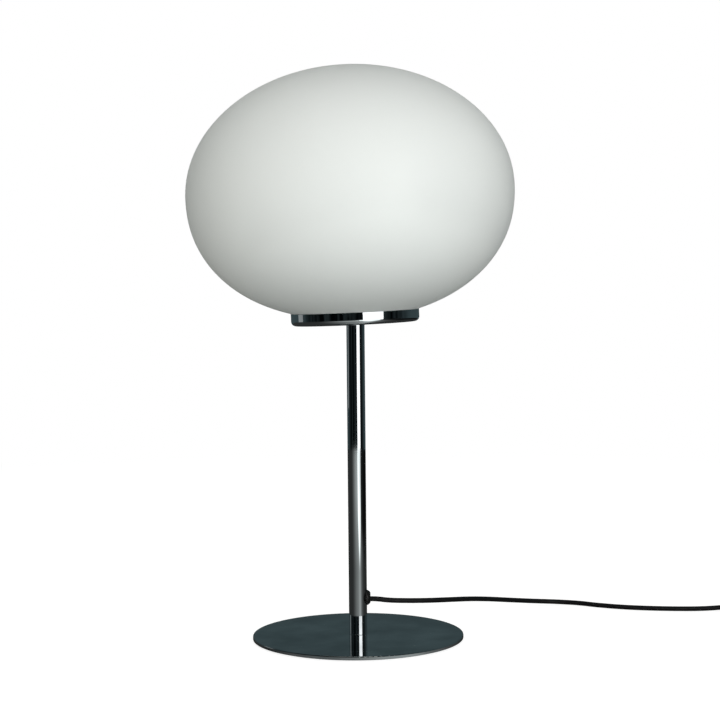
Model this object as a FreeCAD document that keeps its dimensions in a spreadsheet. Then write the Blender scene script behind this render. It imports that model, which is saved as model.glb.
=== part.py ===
"""Table lamp: an opal glass globe in a chrome cup, on a slim stem and a thin round base.

Millimetres, +Z up. The origin is the middle of the base's underside, on the stem's axis.
The cord leaves the stem towards +X. The head stands on the stem's cut top end and leans
a little towards -X, as it does in the photograph.
"""
import FreeCAD, Part
import math
import os
import Sketcher
from FreeCAD import Vector

# Driving sizes in mm and degrees: the cell's name, its value and what it is
SIZES = [
    ("plate_dia", 180.0, "base plate, across"),
    ("plate_thick", 3.0, "base plate, sheet thickness"),
    ("plate_rim_round", 0.8, "base plate, radius of the top rim"),
    ("plate_foot_round", 0.3, "base plate, radius of the bottom rim"),
    ("pad_thick", 0.8, "felt pad under the plate"),
    ("pad_inset", 3.0, "pad's edge inside the plate's edge"),
    ("screw_dia", 5.0, "base screw, thread"),
    ("screw_head_dia", 9.4, "base screw, countersunk head"),
    ("screw_head_high", 2.5, "base screw, height of the head"),
    ("screw_long", 17.0, "base screw, whole length"),
    ("screw_key", 3.0, "base screw, hexagon socket across flats"),
    ("screw_key_deep", 1.6, "base screw, depth of the socket"),
    ("screw_sunk", 0.2, "screw head below the plate's face"),
    ("stem_dia", 15.5, "stem tube, outside"),
    ("stem_wall", 1.0, "stem tube, wall"),
    ("stem_high", 265.5, "stem tube from the plate to the cup, on its axis"),
    ("foot_plug_high", 20.0, "turned plug in the foot of the stem"),
    ("head_plug_high", 20.0, "turned plug in the head of the stem"),
    ("plug_chamfer", 0.6, "chamfer on the turned plugs"),
    ("head_lean", 2.1, "lean of the cup and globe towards -X"),
    ("grommet_up", 31.0, "cord grommet's centre above the plate"),
    ("grommet_dia", 13.0, "grommet's collar"),
    ("grommet_shank_dia", 9.0, "grommet's shank, and the hole in the stem"),
    ("grommet_proud", 3.0, "grommet beyond the stem's side"),
    ("grommet_lip", 0.8, "grommet's lip behind the stem's wall"),
    ("grommet_lip_long", 2.2, "grommet's lip, length"),
    ("grommet_seat", 1.2, "grommet's seat, let into the stem's round side"),
    ("grommet_edge", 0.3, "straight edge of the grommet's collar"),
    ("grommet_mouth", 0.6, "flat face round the grommet's bore"),
    ("grommet_slack", 1.3, "grommet's bore larger than the cord, in radius"),
    ("grommet_clear", 0.1, "cord clear of the bore that it lies in"),
    ("cord_dia", 4.4, "round cord"),
    ("cord_bend", 10.0, "cord's bend inside the stem, on its centre line"),
    ("cord_to_wall", 0.4, "cord clear of the stem's far side"),
    ("cord_leaves_wall", 32.0, "height over the exit where the cord leaves the stem's far side"),
    ("cord_on_axis", 90.0, "height over the exit where the cord is back on the stem's axis"),
    ("sheath_up", 9.0, "cord's sheath ends this far over the nut"),
    ("nipple_dia", 10.0, "threaded tube that clamps the head together"),
    ("nipple_bore", 7.0, "bore of the threaded tube"),
    ("nipple_below", 15.0, "threaded tube below the cup"),
    ("nipple_above", 12.5, "threaded tube above the cup's underside"),
    ("cup_dia", 109.0, "chrome cup, outside"),
    ("cup_high", 10.5, "chrome cup, height"),
    ("cup_sheet", 1.0, "chrome cup, sheet thickness"),
    ("cup_round", 4.0, "chrome cup, outer radius at the bottom"),
    ("cup_lip_round", 0.3, "chrome cup, radius of the rim's edge"),
    ("seat_thick", 1.2, "silicone ring under the glass"),
    ("seat_overhang", 0.8, "silicone ring beyond each face of the neck"),
    ("spring_sheet", 0.6, "three-armed spring, sheet thickness"),
    ("spring_hub_dia", 26.0, "three-armed spring, hub"),
    ("spring_arm_wide", 10.0, "three-armed spring, width of an arm"),
    ("spring_foot", 5.5, "arm's upright starts this far inside the neck"),
    ("spring_bump_up", 10.5, "height of the arm's bump above the cup's floor"),
    ("spring_tip_up", 19.0, "height of the arm's tip above the cup's floor"),
    ("spring_tip_in", 6.5, "arm's tip inside the neck's wall"),
    ("spring_bend", 2.5, "bend radius of the arm"),
    ("spring_root", 3.0, "arm's start inside the hub's edge"),
    ("spring_clear", 0.3, "arm's bump clear of the glass"),
    ("washer_dia", 17.0, "toothed washer, outside"),
    ("washer_thick", 0.8, "toothed washer"),
    ("washer_tooth", 1.6, "toothed washer, depth of the gaps"),
    ("nut_flats", 14.0, "clamping nut, across flats"),
    ("nut_high", 4.0, "clamping nut"),
    ("holder_dia", 39.6, "lampholder, skirt"),
    ("holder_neck_dia", 16.0, "lampholder, threaded neck"),
    ("holder_neck_high", 5.0, "lampholder, height of the neck"),
    ("holder_dome_high", 9.0, "lampholder, height of the cap's dome over the neck"),
    ("holder_dome_in", 1.4, "lampholder, dome's shoulder inside the skirt's side"),
    ("holder_dome_round", 5.0, "lampholder, radius of the dome's shoulder"),
    ("holder_cap_high", 25.0, "lampholder, height of the cap with its neck"),
    ("holder_skirt_high", 30.0, "lampholder, height of the skirt"),
    ("holder_wall", 2.0, "lampholder, wall"),
    ("holder_mouth_dia", 29.2, "lampholder, mouth for the bulb"),
    ("holder_flange", 0.9, "lampholder, skirt's grip band proud of the skirt"),
    ("holder_band_high", 4.0, "lampholder, height of the grip band"),
    ("grip_groove", 0.9, "lampholder, radius of the grip's grooves"),
    ("grip_groove_out", 0.35, "lampholder, centre of a groove outside the band"),
    ("grub_dia", 3.0, "grub screw that locks the lampholder"),
    ("grub_up", 2.4, "grub screw over the nut"),
    ("grub_socket", 1.2, "grub screw, depth of its socket"),
    ("insert_high", 11.0, "contact block"),
    ("insert_up", 6.0, "contact block over the cap's rim"),
    ("insert_gap", 0.25, "contact block's gap in the cap"),
    ("insert_ledge", 1.8, "ledge in the cap that the contact block rests on"),
    ("terminal_apart", 16.0, "terminal screws, centre to centre"),
    ("terminal_dia", 3.0, "terminal screws, thread"),
    ("terminal_head_dia", 5.2, "terminal screws, head"),
    ("terminal_head_high", 2.0, "terminal screws, height of the head"),
    ("terminal_deep", 6.0, "terminal screws, depth in the block"),
    ("terminal_slot", 0.8, "terminal screws, width of the slot"),
    ("terminal_slot_deep", 1.0, "terminal screws, depth of the slot"),
    ("shell_dia", 27.8, "screw shell, outside"),
    ("shell_sheet", 0.35, "screw shell, sheet"),
    ("shell_high", 21.0, "screw shell, height"),
    ("shell_gap", 0.2, "screw shell over the cap's rim"),
    ("contact_sheet", 0.5, "spring contact, sheet"),
    ("contact_wide", 4.0, "spring contact, width"),
    ("contact_up", 2.0, "spring contact's crown above the block"),
    ("wire_dia", 1.6, "single conductor with its insulation"),
    ("wire_bend", 2.6, "single conductor, bend on its centre line"),
    ("wire_beside", 1.05, "single conductor beside the axis where the sheath ends"),
    ("wire_straight", 2.5, "single conductor, straight length out of the sheath"),
    ("wire_aside", 4.2, "single conductor beside its screw's slot"),
    ("wire_up", 3.5, "single conductor, straight length under the block"),
    ("wire_gap", 0.05, "single conductor short of the block"),
    ("globe_dia", 280.0, "glass globe, across"),
    ("globe_over", 109.8, "glass globe from its widest ring to its top"),
    ("globe_under", 106.9, "height of the curve under the widest ring"),
    ("globe_over_power", 2.05, "fullness of the upper curve"),
    ("globe_under_power", 2.12, "fullness of the lower curve"),
    ("glass_wall", 2.5, "glass, wall"),
    ("neck_play", 4.5, "from the cup's wall to the glass neck inside it"),
    ("neck_shoulder", 3.0, "where the curve turns down, outside the neck"),
    ("rim_gap", 0.4, "glass above the cup's rim"),
    ("seat_gap", 0.25, "glass above the silicone ring"),
    ("bulb_dia", 60.0, "bulb, across"),
    ("bulb_long", 108.0, "bulb, whole length"),
    ("bulb_wall", 1.2, "bulb's plastic dome, wall"),
    ("bulb_seam_dia", 54.0, "bulb, where dome and housing meet"),
    ("bulb_waist_dia", 29.0, "bulb housing above the cap"),
    ("bulb_cap_dia", 26.2, "bulb's screw cap"),
    ("bulb_cap_long", 27.0, "bulb's cap with its contact"),
    ("bulb_cap_sheet", 0.3, "bulb's screw cap, sheet"),
    ("bulb_pip_dia", 9.0, "bulb's centre contact"),
    ("bulb_pip_high", 1.2, "bulb's centre contact"),
    ("bulb_insulator_high", 3.6, "bulb's insulator between the contacts"),
    ("pip_gap", 0.3, "bulb above the spring contact"),
    ("switch_long", 62.0, "cord switch, length"),
    ("switch_wide", 22.0, "cord switch, width"),
    ("switch_high", 16.0, "cord switch, height"),
    ("switch_wall", 1.6, "cord switch, wall"),
    ("switch_nose_wide", 11.0, "cord switch, width at its ends"),
    ("switch_taper", 9.0, "cord switch, length of its tapered ends"),
    ("switch_edge_round", 1.6, "cord switch, radius of its long edges"),
    ("switch_nose_round", 2.6, "cord switch, radius at the corners of its ends"),
    ("switch_side_round", 4.0, "cord switch, radius where the tapers start"),
    ("rocker_wide", 9.0, "rocker, width"),
    ("rocker_long", 12.6, "rocker, length"),
    ("rocker_angle", 20.0, "rocker, from off to on"),
    ("rocker_gap", 0.4, "gap round the rocker"),
    ("rocker_up", 1.6, "rocker's ridge above the switch"),
    ("pivot_dia", 2.0, "rocker's pin"),
    ("pivot_gap", 0.05, "running clearance on the rocker's pin"),
    ("pivot_below", 5.5, "rocker's pin below the top of the switch"),
    ("window_over", 1.6, "rocker's window beyond the gap, at each end"),
    ("window_round", 0.8, "rocker's window, corner radius"),
    ("rocker_keel", 2.2, "rocker under its pin"),
    ("rocker_end_under", 0.6, "rocker's ends under its pin"),
    ("rocker_end_drop", 0.8, "rocker's ends under its ridge"),
    ("rocker_round", 1.0, "rocker, radius of its lower edges"),
    ("contact_plate_long", 5.0, "switch's contact plates, length"),
    ("contact_plate_wide", 4.0, "switch's contact plates, width"),
    ("contact_plate_thick", 0.6, "switch's contact plates"),
    ("contact_plate_apart", 21.0, "switch's contact plates, centre to centre"),
    ("contact_plate_aside", 4.5, "switch's contact plates, centre beside the cord"),
    ("case_screw_dia", 2.5, "cord switch, case screws"),
    ("case_screw_slot", 0.6, "cord switch, depth of the screws' sockets"),
    ("case_screw_sunk", 0.4, "cord switch, screws' heads under the face"),
    ("case_screw_short", 2.0, "cord switch, screws short of the upper wall"),
    ("case_screw_apart", 40.0, "cord switch, between the case screws"),
    ("plug_wide", 35.3, "flat plug, width of its face"),
    ("plug_thick", 13.7, "flat plug, thickness"),
    ("plug_long", 35.0, "flat plug, body"),
    ("plug_back_wide", 15.0, "flat plug, width at the cord"),
    ("plug_back_thick", 11.6, "flat plug, thickness at the cord"),
    ("plug_round", 3.0, "flat plug, radius of its long edges"),
    ("sleeve_long", 26.0, "bend relief on the plug, length"),
    ("sleeve_big_dia", 9.6, "bend relief at the plug"),
    ("sleeve_small_dia", 6.4, "bend relief at the cord"),
    ("sleeve_ring_gap", 1.3, "bend relief, width of a groove"),
    ("sleeve_ring_deep", 0.9, "bend relief, depth of a groove"),
    ("sleeve_plain", 5.0, "bend relief, length without grooves"),
    ("sleeve_floor", 2.0, "bend relief, wall at the end of the cord"),
    ("plug_waist_in", 3.0, "flat plug, half width less at its waist"),
    ("pin_round", 1.0, "plug's pins, radius at the tip"),
    ("pin_dia", 4.0, "plug's pins"),
    ("pin_long", 19.0, "plug's pins beyond the face"),
    ("pin_bare", 9.0, "bare end of a pin"),
    ("pin_core_dia", 3.0, "pin inside its sleeve"),
    ("pin_sleeve_dia", 4.0, "insulating sleeve on a pin"),
    ("pin_root", 8.0, "pin held inside the plug"),
    ("pin_apart", 18.6, "pins, centre to centre"),
    ("cord_straight_exit", 5.25, "straight cord out of the grommet"),
    ("cord_straight_in", 16.0, "straight cord before the switch"),
    ("cord_straight_out", 13.0, "straight cord after the switch"),
    ("link_swing_x", 29.0, "corner of the cord's route after the switch, along X"),
    ("link_swing_y", 7.0, "the same corner, towards the coil"),
    ("link_swing_z", 4.6, "the same corner, above the floor"),
    ("coil_lead", 21.6, "last corner of that route, before the coil"),
    ("tail_straight", 11.5, "straight cord out of the coil"),
    ("plug_straight", 12.0, "straight cord before the plug"),
    ("switch_at_x", 382.0, "cord switch, the end that faces the lamp"),
    ("switch_at_y", 105.0, "cord switch, its axis"),
    ("coil_at_x", 451.0, "centre of the coil"),
    ("coil_at_y", 52.0, "centre of the coil"),
    ("coil_inner", 17.7, "coil's smallest radius, on the cord's centre line"),
    ("coil_step", 5.0, "coil, from turn to turn and from layer to layer"),
    ("tie_thick", 0.6, "tie round the coil, strip thickness"),
    ("tie_wide", 8.0, "tie round the coil, strip width"),
    ("tie_gap", 0.2, "tie round the coil, clear of the cord"),
    ("tie_slack", 1.5, "tie round the coil, slack on its outer side"),
    ("tie_round", 2.0, "tie round the coil, inner corner radius"),
    ("plug_at_x", 408.0, "where the cord enters the plug's bend relief"),
    ("plug_at_y", 12.0, "plug's axis"),
]

SPRING_ARMS = 3
WASHER_TEETH = 12
NUT_SIDES = 6
SLEEVE_GROOVES = 5
COIL_TURNS = 7.25
GLOBE_POINTS = 9
GRIP_COUNT = 24
NUT_BEVEL = 30
POINTS_PER_TURN = 60

# Shares of a size that are part of a shape, not sizes of their own
RUN_SHARE = 0.45
NO_TURN = 1e-6

doc = FreeCAD.newDocument("globe_table_lamp")
sheet = doc.addObject("Spreadsheet::Sheet", "sizes")
nodes = {}


class Size:
    """A length in mm or an angle in degrees, kept with the formula that gives it."""

    def __init__(self, number, formula):
        self.number = float(number)
        self.formula = formula

    def __add__(self, other):
        other = sized(other)
        return Size(self.number + other.number, f"({self.formula} + {other.formula})")

    def __sub__(self, other):
        other = sized(other)
        return Size(self.number - other.number, f"({self.formula} - {other.formula})")

    def __mul__(self, other):
        other = sized(other)
        return Size(self.number * other.number, f"({self.formula} * {other.formula})")

    def __truediv__(self, other):
        other = sized(other)
        return Size(self.number / other.number, f"({self.formula} / {other.formula})")

    def __neg__(self):
        return Size(-self.number, f"(0 - {self.formula})")

    def __radd__(self, other):
        return sized(other) + self

    def __rsub__(self, other):
        return sized(other) - self

    def __rmul__(self, other):
        return sized(other) * self


def sized(value):
    """A plain number as a Size; a Size stays as it is."""
    if isinstance(value, Size):
        return value
    return Size(value, f"({float(value)!r})")


def fill_sheet():
    """Write the driving sizes into the sheet, one row each."""
    for row, (name, number, words) in enumerate(SIZES, start=1):
        sheet.set(f"A{row}", words)
        sheet.set(f"B{row}", str(number))
        sheet.setAlias(f"B{row}", name)
    doc.recompute()


def size(name):
    """One driving size, read from the sheet."""
    return Size(sheet.get(name), f"sizes.{name}")


fill_sheet()


# Frames: where a piece's own axes lie in the lamp


class Frame:
    """A place and a turn, kept as numbers and as the formula for the same."""

    def __init__(self, placement, formula):
        self.placement = placement
        self.formula = formula

    def inside(self, x, y, z, axis=(0, 0, 1), angle=0):
        """A frame moved and turned inside this one."""
        x, y, z, angle = sized(x), sized(y), sized(z), sized(angle)
        move = Vector(x.number, y.number, z.number)
        turn = FreeCAD.Rotation(Vector(*axis), angle.number)
        formula = (
            f"placement(vector({x.formula}; {y.formula}; {z.formula}); "
            f"rotation(vector({axis[0]}; {axis[1]}; {axis[2]}); {angle.formula}))"
        )
        return Frame(
            self.placement.multiply(FreeCAD.Placement(move, turn)),
            f"{self.formula} * {formula}" if self.formula else formula,
        )


LAMP = Frame(FreeCAD.Placement(), "").inside(0, 0, 0)

plate_under = size("pad_thick")
plate_top = plate_under + size("plate_thick")
stem_top = plate_top + size("stem_high")
stem_radius = size("stem_dia") / 2
stem_bore = stem_radius - size("stem_wall")
cord_radius = size("cord_dia") / 2
grommet_at = plate_top + size("grommet_up")
grommet_bore = cord_radius + size("grommet_slack")
cord_exit_at = grommet_at - size("grommet_slack") + size("grommet_clear")

# The head's own frame stands on the stem's top, leaning towards -X
HEAD = LAMP.inside(0, 0, stem_top, (0, 1, 0), -size("head_lean"))

cup_floor = size("cup_sheet")
spring_top = cup_floor + size("spring_sheet")
washer_top = spring_top + size("washer_thick")
nut_top = washer_top + size("nut_high")
cap_top = nut_top + size("holder_cap_high")
skirt_top = cap_top + size("holder_skirt_high")
insert_top = cap_top + size("insert_up")
insert_under = insert_top - size("insert_high")
contact_top = insert_top + size("contact_up")
bulb_under = contact_top + size("pip_gap")
neck_radius = size("cup_dia") / 2 - size("cup_sheet") - size("neck_play")
neck_inside = neck_radius - size("glass_wall")
sheath_end = nut_top + size("sheath_up")


# Drawing helpers


def place(item, frame):
    """Put an object into a frame, bound to the sizes that the frame uses."""
    item.setExpression("Placement", frame.formula)
    return item


def named(item, label):
    """Give a finished sub-part its name and list it as a node."""
    item.Label = label
    nodes[label] = item
    return item


def new_body(name):
    """An empty body."""
    return doc.addObject("PartDesign::Body", name)


def new_sketch(body, name, plane, offset=None):
    """A sketch on one of the body's own planes, moved along its normal if asked."""
    sketch = body.newObject("Sketcher::SketchObject", name)
    support = [item for item in body.Origin.OriginFeatures if item.Role == plane][0]
    sketch.AttachmentSupport = (support, [""])
    sketch.MapMode = "FlatFace"
    if offset is not None:
        sketch.setExpression("AttachmentOffset.Base.z", sized(offset).formula)
    return sketch


class Bow:
    """Stands between two corners of an outline that a short arc joins."""

    def __init__(self, radius, leftwards=True):
        self.radius = sized(radius)
        self.leftwards = leftwards


def bind(sketch, name, formula, *constraint):
    """Add one constraint that follows a formula."""
    index = sketch.addConstraint(Sketcher.Constraint(*constraint))
    sketch.renameConstraint(index, name)
    sketch.setExpression(f"Constraints.{name}", formula)


def short_arc(start, finish, radius, leftwards):
    """The arc under a half circle from start to finish, and whether it runs backwards."""
    chord = finish - start
    side = Vector(-chord.y, chord.x, 0).normalize()
    if not leftwards:
        side = -side
    away = math.sqrt(max(radius**2 - (chord.Length / 2) ** 2, 0))
    centre = start + chord * 0.5 + side * away
    first, last = (start, finish) if leftwards else (finish, start)
    angle_a = math.atan2(first.y - centre.y, first.x - centre.x)
    angle_b = math.atan2(last.y - centre.y, last.x - centre.x)
    circle = Part.Circle(centre, Vector(0, 0, 1), radius)
    return Part.ArcOfCircle(circle, angle_a, angle_b)


def draw(sketch, outline, closed=True):
    """Draw an outline through corners (across, up) or (across, up, rounding).

    Each corner is bound to its formulas. A Bow between two corners joins them by an arc.
    """
    corners = []
    bows = {}
    for step in outline:
        if isinstance(step, Bow):
            bows[len(corners) - 1] = step
        else:
            corners.append([sized(part) for part in step])
    count = len(corners)
    points = [Vector(corner[0].number, corner[1].number, 0) for corner in corners]
    entering = list(points)
    leaving = list(points)
    for index, corner in enumerate(corners):
        if len(corner) == 3:
            back = (points[index - 1] - points[index]).normalize()
            ahead = (points[(index + 1) % count] - points[index]).normalize()
            reach = corner[2].number / math.tan(back.getAngle(ahead) / 2)
            entering[index] = points[index] + back * reach
            leaving[index] = points[index] + ahead * reach

    edges = []
    for index in range(count if closed else count - 1):
        following = (index + 1) % count
        start, finish = leaving[index], entering[following]
        if index in bows:
            bow = bows[index]
            arc = short_arc(start, finish, bow.radius.number, bow.leftwards)
            edge = sketch.addGeometry(arc, False)
            bind(sketch, f"bow_{index}", bow.radius.formula, "Radius", edge, bow.radius.number)
            edges.append((edge, 1, 2) if bow.leftwards else (edge, 2, 1))
        else:
            edge = sketch.addGeometry(Part.LineSegment(start, finish), False)
            edges.append((edge, 1, 2))

    for index, corner in enumerate(corners):
        before = edges[index - 1] if closed or index > 0 else None
        after = edges[index] if closed or index < count - 1 else None
        held, end = (after[0], after[1]) if after else (before[0], before[2])
        if len(corner) == 3:
            join_by_arc(sketch, index, corner[2], before, after, entering[index], leaving[index])
            held = sketch.addGeometry(Part.Point(points[index]), True)
            end = 1
            sketch.addConstraint(Sketcher.Constraint("PointOnObject", held, 1, before[0]))
            sketch.addConstraint(Sketcher.Constraint("PointOnObject", held, 1, after[0]))
        elif before and after:
            sketch.addConstraint(
                Sketcher.Constraint("Coincident", before[0], before[2], after[0], after[1])
            )
        across, up = corner[0], corner[1]
        bind(sketch, f"across_{index}", across.formula, "DistanceX", -1, 1, held, end, across.number)
        bind(sketch, f"up_{index}", up.formula, "DistanceY", -1, 1, held, end, up.number)


def join_by_arc(sketch, index, rounding, before, after, start, finish):
    """Round one corner with an arc tangent to the edges on both sides."""
    back = start - finish
    turn = (sketch.Geometry[before[0]].EndPoint - sketch.Geometry[before[0]].StartPoint).cross(-back)
    leftwards = turn.z > 0
    arc = sketch.addGeometry(short_arc(start, finish, rounding.number, leftwards), False)
    first, last = (1, 2) if leftwards else (2, 1)
    sketch.addConstraint(Sketcher.Constraint("Tangent", before[0], before[2], arc, first))
    sketch.addConstraint(Sketcher.Constraint("Tangent", arc, last, after[0], after[1]))
    bind(sketch, f"round_{index}", rounding.formula, "Radius", arc, rounding.number)


def draw_circle(sketch, across, up, radius):
    """Draw a circle bound to its centre and radius."""
    across, up, radius = sized(across), sized(up), sized(radius)
    centre = Vector(across.number, up.number, 0)
    circle = sketch.addGeometry(Part.Circle(centre, Vector(0, 0, 1), radius.number), False)
    bind(sketch, f"radius_{circle}", radius.formula, "Radius", circle, radius.number)
    bind(sketch, f"across_{circle}", across.formula, "DistanceX", -1, 1, circle, 3, across.number)
    bind(sketch, f"up_{circle}", up.formula, "DistanceY", -1, 1, circle, 3, up.number)


def turned(name, outline, frame=LAMP):
    """A body turned about its own Z axis from an outline of (radius, height) corners."""
    body = new_body(name)
    sketch = new_sketch(body, name + "_profile", "XZ_Plane")
    draw(sketch, outline)
    turn = body.newObject("PartDesign::Revolution", name + "_turning")
    turn.Profile = sketch
    turn.ReferenceAxis = (sketch, ["V_Axis"])
    turn.Angle = 360
    return place(body, frame)


def pad(body, sketch, length, both_ways=False):
    """Pad a sketch by a length along its normal, or half each way."""
    feature = body.newObject("PartDesign::Pad", sketch.Name + "_pad")
    feature.Profile = sketch
    feature.setExpression("Length", sized(length).formula)
    if both_ways:
        feature.SideType = "Symmetric"
    return feature


def pocket(body, sketch, depth, both_ways=False, along_normal=False):
    """Pocket a sketch; it cuts against the sketch's normal unless told otherwise."""
    doc.recompute()
    before = body.Shape.Volume
    feature = body.newObject("PartDesign::Pocket", sketch.Name + "_pocket")
    feature.Profile = sketch
    feature.setExpression("Length", sized(depth).formula)
    feature.Reversed = along_normal
    if both_ways:
        feature.SideType = "Symmetric"
    doc.recompute()
    if body.Shape.Volume > before * (1 - NO_TURN):
        raise RuntimeError(f"{sketch.Name} cuts nothing")
    return feature


def around(body, feature, count):
    """Repeat a feature evenly about the body's Z axis."""
    pattern = body.newObject("PartDesign::PolarPattern", feature.Name + "_pattern")
    pattern.Originals = [feature]
    axis = [item for item in body.Origin.OriginFeatures if item.Role == "Z_Axis"][0]
    pattern.Axis = (axis, [""])
    pattern.Angle = 360
    pattern.Occurrences = count
    body.Tip = pattern
    return pattern


def cylinder(name, radius, height, frame):
    """A plain cylinder standing on its frame."""
    item = doc.addObject("Part::Cylinder", name)
    item.setExpression("Radius", sized(radius).formula)
    item.setExpression("Height", sized(height).formula)
    return place(item, frame)


def cut(name, base, tool):
    """The base without the tool."""
    item = doc.addObject("Part::Cut", name)
    item.Base = base
    item.Tool = tool
    return item


def fuse(name, shapes):
    """Several shapes as one solid or one group of solids."""
    item = doc.addObject("Part::MultiFuse", name)
    item.Shapes = shapes
    return item


def common(name, base, tool):
    """What the base and the tool share."""
    item = doc.addObject("Part::Common", name)
    item.Base = base
    item.Tool = tool
    return item


def formed(name, shape, frame=LAMP):
    """A piece whose shape is made here, placed in a frame."""
    item = doc.addObject("Part::Feature", name)
    item.Shape = shape
    return place(item, frame)


# Base


def build_base_pad():
    radius = size("plate_dia") / 2 - size("pad_inset")
    outline = [(0, 0), (radius, 0), (radius, plate_under), (0, plate_under)]
    named(turned("pad", outline), "base_pad")


def build_base_plate():
    radius = size("plate_dia") / 2
    sink_top = plate_under + size("screw_sunk") + size("screw_head_high")
    sink_radius = size("screw_head_dia") / 2
    outline = [
        (sink_radius, plate_under),
        (radius, plate_under, size("plate_foot_round")),
        (radius, plate_top, size("plate_rim_round")),
        (size("screw_dia") / 2, plate_top),
        (size("screw_dia") / 2, sink_top),
        (sink_radius, plate_under + size("screw_sunk")),
    ]
    named(turned("plate", outline), "base_plate")


def build_base_screw():
    under = plate_under + size("screw_sunk")
    radius = size("screw_dia") / 2
    tip = under + size("screw_long")
    outline = [
        (0, under),
        (size("screw_head_dia") / 2, under),
        (radius, under + size("screw_head_high")),
        (radius, tip - size("plug_chamfer")),
        (radius - size("plug_chamfer"), tip),
        (0, tip),
    ]
    body = turned("screw", outline)
    sketch = new_sketch(body, "screw_socket", "XY_Plane", under)
    flats = size("screw_key")
    draw(sketch, polygon(flats, 6))
    pocket(body, sketch, size("screw_key_deep"), along_normal=True)
    named(body, "base_screw")


def polygon(flats, sides):
    """The corners of a regular polygon by its size across flats."""
    corners = []
    for index in range(sides):
        angle = 2 * math.pi * (index + 0.5) / sides
        reach = flats * (0.5 / math.cos(math.pi / sides))
        corners.append((reach * math.cos(angle), reach * math.sin(angle)))
    return corners


# Stem


def build_seat_cutter():
    """A block above the cup's seat; it trims the stem and its plug to the head's lean."""
    wide = size("stem_dia") * 2
    block = doc.addObject("Part::Box", "seat_cutter")
    for side in ("Length", "Width", "Height"):
        block.setExpression(side, wide.formula)
    return place(block, HEAD.inside(-size("stem_dia"), -size("stem_dia"), 0))


def build_stem_tube(seat_cutter):
    spare = size("stem_dia") / 2
    outline = [
        (stem_bore, plate_top),
        (stem_radius, plate_top),
        (stem_radius, stem_top + spare),
        (stem_bore, stem_top + spare),
    ]
    blank = turned("stem_blank", outline)
    trimmed = cut("stem_trimmed", blank, seat_cutter)
    drill = cylinder(
        "stem_drill",
        size("grommet_shank_dia") / 2,
        size("stem_dia"),
        LAMP.inside(0, 0, grommet_at, (0, 1, 0), 90),
    )
    return named(cut("stem", trimmed, drill), "stem_tube")


def build_stem_foot_plug():
    top = plate_top + size("foot_plug_high")
    radius = size("screw_dia") / 2
    bevel = size("plug_chamfer")
    outline = [
        (radius, plate_top),
        (stem_bore - bevel, plate_top),
        (stem_bore, plate_top + bevel),
        (stem_bore, top - bevel),
        (stem_bore - bevel, top),
        (radius, top),
    ]
    named(turned("foot_plug", outline), "stem_foot_plug")


def build_stem_head_plug(seat_cutter):
    blank = cylinder(
        "head_plug_blank",
        stem_bore,
        size("head_plug_high") + stem_radius,
        LAMP.inside(0, 0, stem_top - size("head_plug_high")),
    )
    trimmed = cut("head_plug_trimmed", blank, seat_cutter)
    tap = cylinder(
        "head_plug_tap",
        size("nipple_dia") / 2,
        size("head_plug_high") * 2,
        HEAD.inside(0, 0, -size("head_plug_high") * 1.5),
    )
    named(cut("head_plug", trimmed, tap), "stem_head_plug")


def build_threaded_nipple():
    outer = size("nipple_dia") / 2
    inner = size("nipple_bore") / 2
    low = -size("nipple_below")
    high = size("nipple_above")
    bevel = size("plug_chamfer")
    outline = [
        (inner, low),
        (outer - bevel, low),
        (outer, low + bevel),
        (outer, high - bevel),
        (outer - bevel, high),
        (inner, high),
    ]
    named(turned("nipple", outline, HEAD), "threaded_nipple")


def build_cord_grommet(stem):
    """A snap-in collar: a lip behind the wall, a shank through it and a domed collar."""
    bore = grommet_bore
    shank = size("grommet_shank_dia") / 2
    collar = size("grommet_dia") / 2
    tip = stem_radius + size("grommet_proud")
    back = stem_radius - size("grommet_seat")
    lip_front = stem_bore - size("grommet_seat")
    lip_back = lip_front - size("grommet_lip_long")
    outline = [
        (bore, lip_back),
        (shank, lip_back),
        (shank + size("grommet_lip"), lip_back + size("grommet_lip")),
        (shank + size("grommet_lip"), lip_front),
        (shank, lip_front),
        (shank, back),
        (collar, back),
        (collar, stem_radius + size("grommet_edge")),
        Bow(collar * 0.75),
        (bore + size("grommet_mouth"), tip),
        (bore, tip),
    ]
    blank = turned("grommet_blank", outline, LAMP.inside(0, 0, grommet_at, (0, 1, 0), 90))
    named(cut("grommet", blank, stem), "cord_grommet")


# Cup and what clamps it


def build_gallery_cup():
    radius = size("cup_dia") / 2
    sheet_thick = size("cup_sheet")
    lip = size("cup_lip_round")
    outline = [
        (size("nipple_dia") / 2, 0),
        (radius, 0, size("cup_round")),
        (radius, size("cup_high"), lip),
        (radius - sheet_thick, size("cup_high"), lip),
        (radius - sheet_thick, cup_floor, size("cup_round") - sheet_thick),
        (size("nipple_dia") / 2, cup_floor),
    ]
    named(turned("cup", outline, HEAD), "gallery_cup")


def build_seat_ring():
    inner = neck_inside - size("seat_overhang")
    outer = neck_radius + size("seat_overhang")
    top = cup_floor + size("seat_thick")
    outline = [(inner, cup_floor), (outer, cup_floor), (outer, top), (inner, top)]
    named(turned("seat", outline, HEAD), "seat_ring")


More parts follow.
